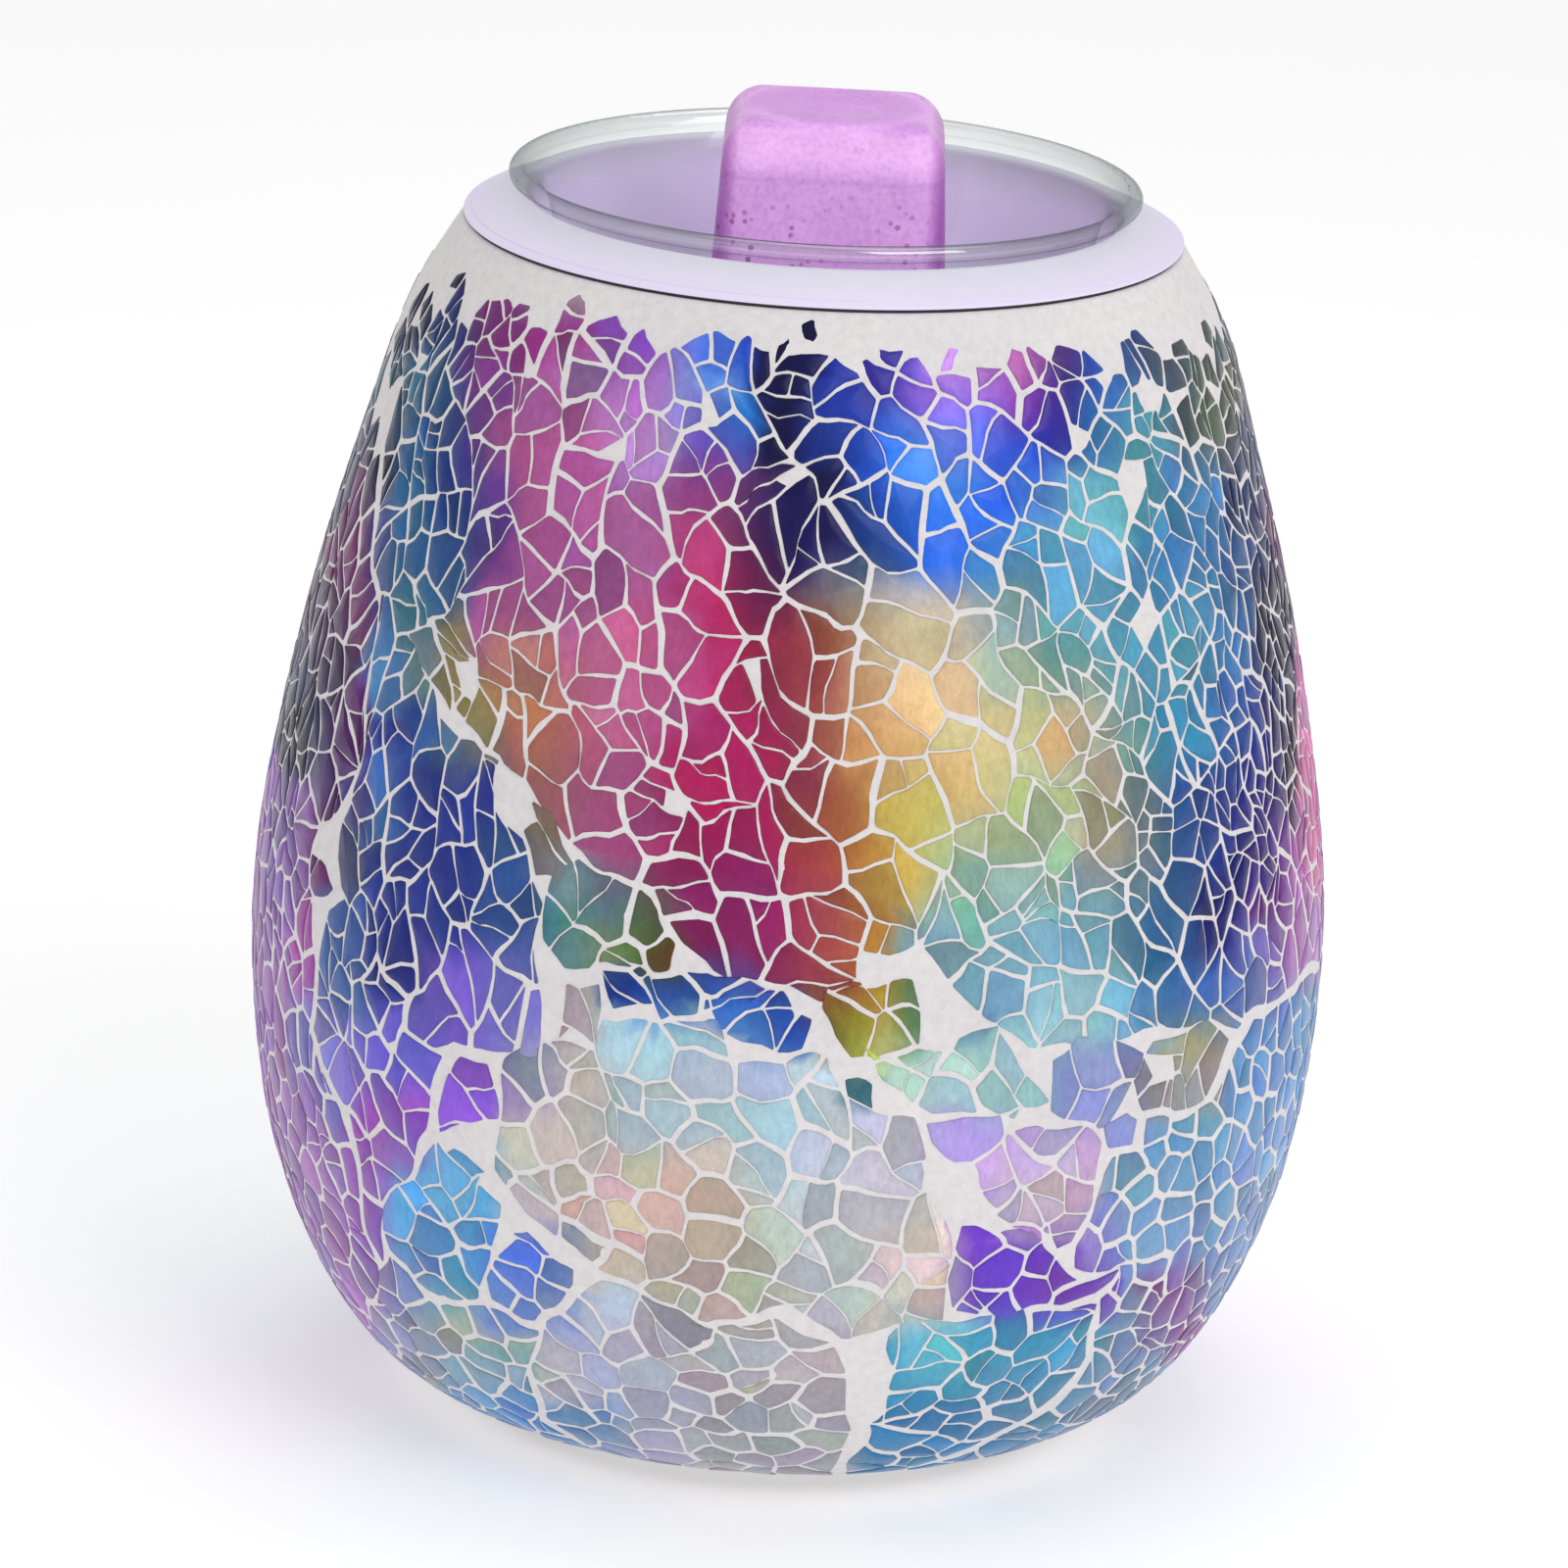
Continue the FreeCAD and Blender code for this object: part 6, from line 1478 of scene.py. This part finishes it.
def collar_material():
    m = Mat("collar_plastic")
    n = m.noise(420.0, 4.0, 0.6)
    big = m.noise(25.0, 2.0, 0.5)
    r = m.ramp(big.outputs["Fac"], [(0.3, lin(224, 221, 236)), (0.7, lin(229, 227, 240))])
    r2 = m.ramp(n.outputs["Fac"], [(0.3, (0.98, 0.98, 0.98)), (0.7, (1.01, 1.01, 1.01))])
    c = m.mix(r.outputs["Color"], r2.outputs["Color"], mode="MULTIPLY", f=1.0)
    # the well under the dish is painted a lilac cast standing in for light bounced from the melt, and given a painted
    # glow standing in for the light that reaches it through the dish
    sx = m.node("SeparateXYZ")
    m.link(m.tc.outputs["Object"], sx.inputs[0])
    deep = m.ramp(sx.outputs[2], [(0.0, (1, 1, 1)), (0.1410, (1, 1, 1)), (0.1436, (0, 0, 0))])
    # painted reflected light: the well's base colour turns lilac
    c = m.mix(c, lin(226, 212, 244), fac=deep.outputs["Color"])
    m.link(c, m.b.inputs["Base Color"])
    # painted glow: only the well gives off light, of its own colour
    well_painted_glow = m.mix((0.0, 0.0, 0.0, 1.0), c, fac=deep.outputs["Color"])
    m.link(well_painted_glow, m.b.inputs["Emission Color"])
    m.b.inputs["Emission Strength"].default_value = 0.14
    m.set(Roughness=0.42)
    m.b.inputs["Specular IOR Level"].default_value = 0.4
    m.bump(n.outputs["Fac"], 0.05, 0.0001)
    return m.m


# ------------------------------------------------------------------------ build
V_, F_, C_, NT_ = build_mosaic()
mosaic = new_object("mosaic_skin", V_, F_, mosaic_material(), cols=C_)
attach(mosaic, "root")
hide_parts("mosaic_tiles")
print("mosaic tiles", NT_, "verts", len(V_))

V_, F_ = build_grout()
plaster = new_object("plaster_bed", V_, F_, grout_material())
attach(plaster, "root")
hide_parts("grout_layer")

V_, F_, C_ = build_cube()
melt = new_object("wax_melt", V_, F_, wax_material(), cols=C_)
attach(melt, "melt")
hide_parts("wax_cube")


# ------------------------------------------------- finishes of the CAD's nodes
FIN = {
    "glass_vase": grainy("vase_glass", (0.82, 0.84, 0.86), (0.90, 0.91, 0.92), 60, 0.08),
    "top_collar": collar_material(),
    "collar_gasket": grainy("black_rubber", (0.012, 0.012, 0.016), (0.022, 0.022, 0.028), 300, 0.6, bump=0.1),
    "bond_ring": grainy("silicone", (0.66, 0.66, 0.65), (0.74, 0.74, 0.73), 200, 0.35),
    "heater_plate": grainy("heater_aluminium", (0.50, 0.50, 0.52), (0.60, 0.60, 0.62), 300, 0.35, 1.0, 0.05),
    "ptc_element": grainy("ptc_ceramic", (0.025, 0.02, 0.02), (0.045, 0.04, 0.036), 400, 0.7, bump=0.1),
    "mica_sheet": grainy("mica", (0.30, 0.20, 0.09), (0.42, 0.30, 0.15), 500, 0.4),
    "light_diffuser": grainy("diffuser_plastic", (0.78, 0.78, 0.76), (0.84, 0.84, 0.82), 80, 0.5),
    "heater_leads": grainy("lead_insulation", (0.55, 0.03, 0.02), (0.66, 0.05, 0.03), 300, 0.45),
    "thermal_fuse": grainy("fuse_can", (0.42, 0.40, 0.33), (0.55, 0.52, 0.44), 300, 0.3, 1.0),
    "wax_dish": glass_material(),
}
steel = grainy("zinc_steel", (0.44, 0.45, 0.46), (0.58, 0.58, 0.58), 350, 0.32, 1.0, 0.05)
for n_ in ("clamp_bracket", "bracket_screws", "fuse_clip", "clamp_ring", "clamp_screws", "clamp_nuts", "cover_screws", "board_screws", "led_screws"):
    FIN[n_] = steel
base_pl = grainy("base_plastic", (0.66, 0.65, 0.66), (0.72, 0.71, 0.72), 700, 0.5, bump=0.15, dist=0.00005)
FIN["base_pan"] = base_pl
FIN["bottom_cover"] = base_pl
FIN["base_washer"] = FIN["collar_gasket"]
foot = grainy("foot_rubber", (0.22, 0.22, 0.235), (0.29, 0.29, 0.30), 500, 0.75, bump=0.2)
FIN["rubber_feet"] = foot
FIN["cable_bush"] = foot
FIN["driver_board"] = grainy("circuit_board", (0.004, 0.07, 0.02), (0.008, 0.11, 0.03), 400, 0.4)
FIN["transformer"] = grainy("transformer_tape", (0.62, 0.42, 0.03), (0.70, 0.50, 0.05), 300, 0.4)
FIN["capacitor"] = grainy("capacitor_can", (0.03, 0.035, 0.06), (0.05, 0.055, 0.09), 200, 0.35)
FIN["terminal_block"] = grainy("terminal_plastic", (0.01, 0.10, 0.04), (0.02, 0.14, 0.06), 300, 0.45)
FIN["led_board"] = grainy("led_board_white", (0.76, 0.76, 0.76), (0.83, 0.83, 0.83), 300, 0.4)
FIN["led_emitters"] = grainy("led_phosphor", (0.78, 0.58, 0.06), (0.86, 0.66, 0.10), 300, 0.3)
for name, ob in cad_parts.items():
    if name in FIN:
        ob.data.materials.clear()
        ob.data.materials.append(FIN[name])


# -------------------------------------------------------------- floor and light
fm = Mat("floor")
fn = fm.noise(3.0, 3.0, 0.5)
fr = fm.ramp(fn.outputs["Fac"], [(0.3, (0.93, 0.93, 0.93)), (0.7, (0.95, 0.95, 0.95))])
fm.link(fr.outputs["Color"], fm.b.inputs["Base Color"])
fm.set(Roughness=0.6)
fm.b.inputs["Specular IOR Level"].default_value = 0.1
fm.b.inputs["Emission Color"].default_value = (1.0, 1.0, 1.0, 1.0)
fm.b.inputs["Emission Strength"].default_value = 0.28
floor = new_object("floor", [(-4, -4, 0), (4, -4, 0), (4, 6, 0), (-4, 6, 0)], [(0, 1, 2, 3)], fm.m, smooth=False)

w = bpy.data.worlds.new("studio")
bpy.context.scene.world = w
w.use_nodes = True
w.node_tree.nodes["Background"].inputs["Color"].default_value = (1.0, 1.0, 1.0, 1.0)
w.node_tree.nodes["Background"].inputs["Strength"].default_value = WORLD


def area_light(name, loc, target, size, power, col=(1, 1, 1)):
    d = bpy.data.lights.new(name, "AREA")
    d.shape = "RECTANGLE"
    d.size, d.size_y = size
    d.energy = power
    d.color = col
    o = bpy.data.objects.new(name, d)
    bpy.context.scene.collection.objects.link(o)
    o.location = loc
    v = Vector(target) - Vector(loc)
    o.rotation_euler = v.to_track_quat("-Z", "Y").to_euler()
    return o


for L_ in LIGHTS:
    area_light(*L_)

cam_d = bpy.data.cameras.new("camera")
cam_d.lens = 174.8
cam_d.sensor_width = 36.0
cam_d.clip_start = 0.05
cam = bpy.data.objects.new("camera", cam_d)
bpy.context.scene.collection.objects.link(cam)
right, up, fwd = Vector((0.998666, 0.015268, 0.049330)), Vector((-0.051639, 0.295280, 0.954014)), Vector((0, 0.955289, -0.295675))
cam.matrix_world = Matrix(((right.x, up.x, -fwd.x, -0.001283), (right.y, up.y, -fwd.y, -0.859760),
                           (right.z, up.z, -fwd.z, 0.340020), (0, 0, 0, 1)))
bpy.context.scene.camera = cam
bpy.context.scene.view_settings.view_transform = "Standard"
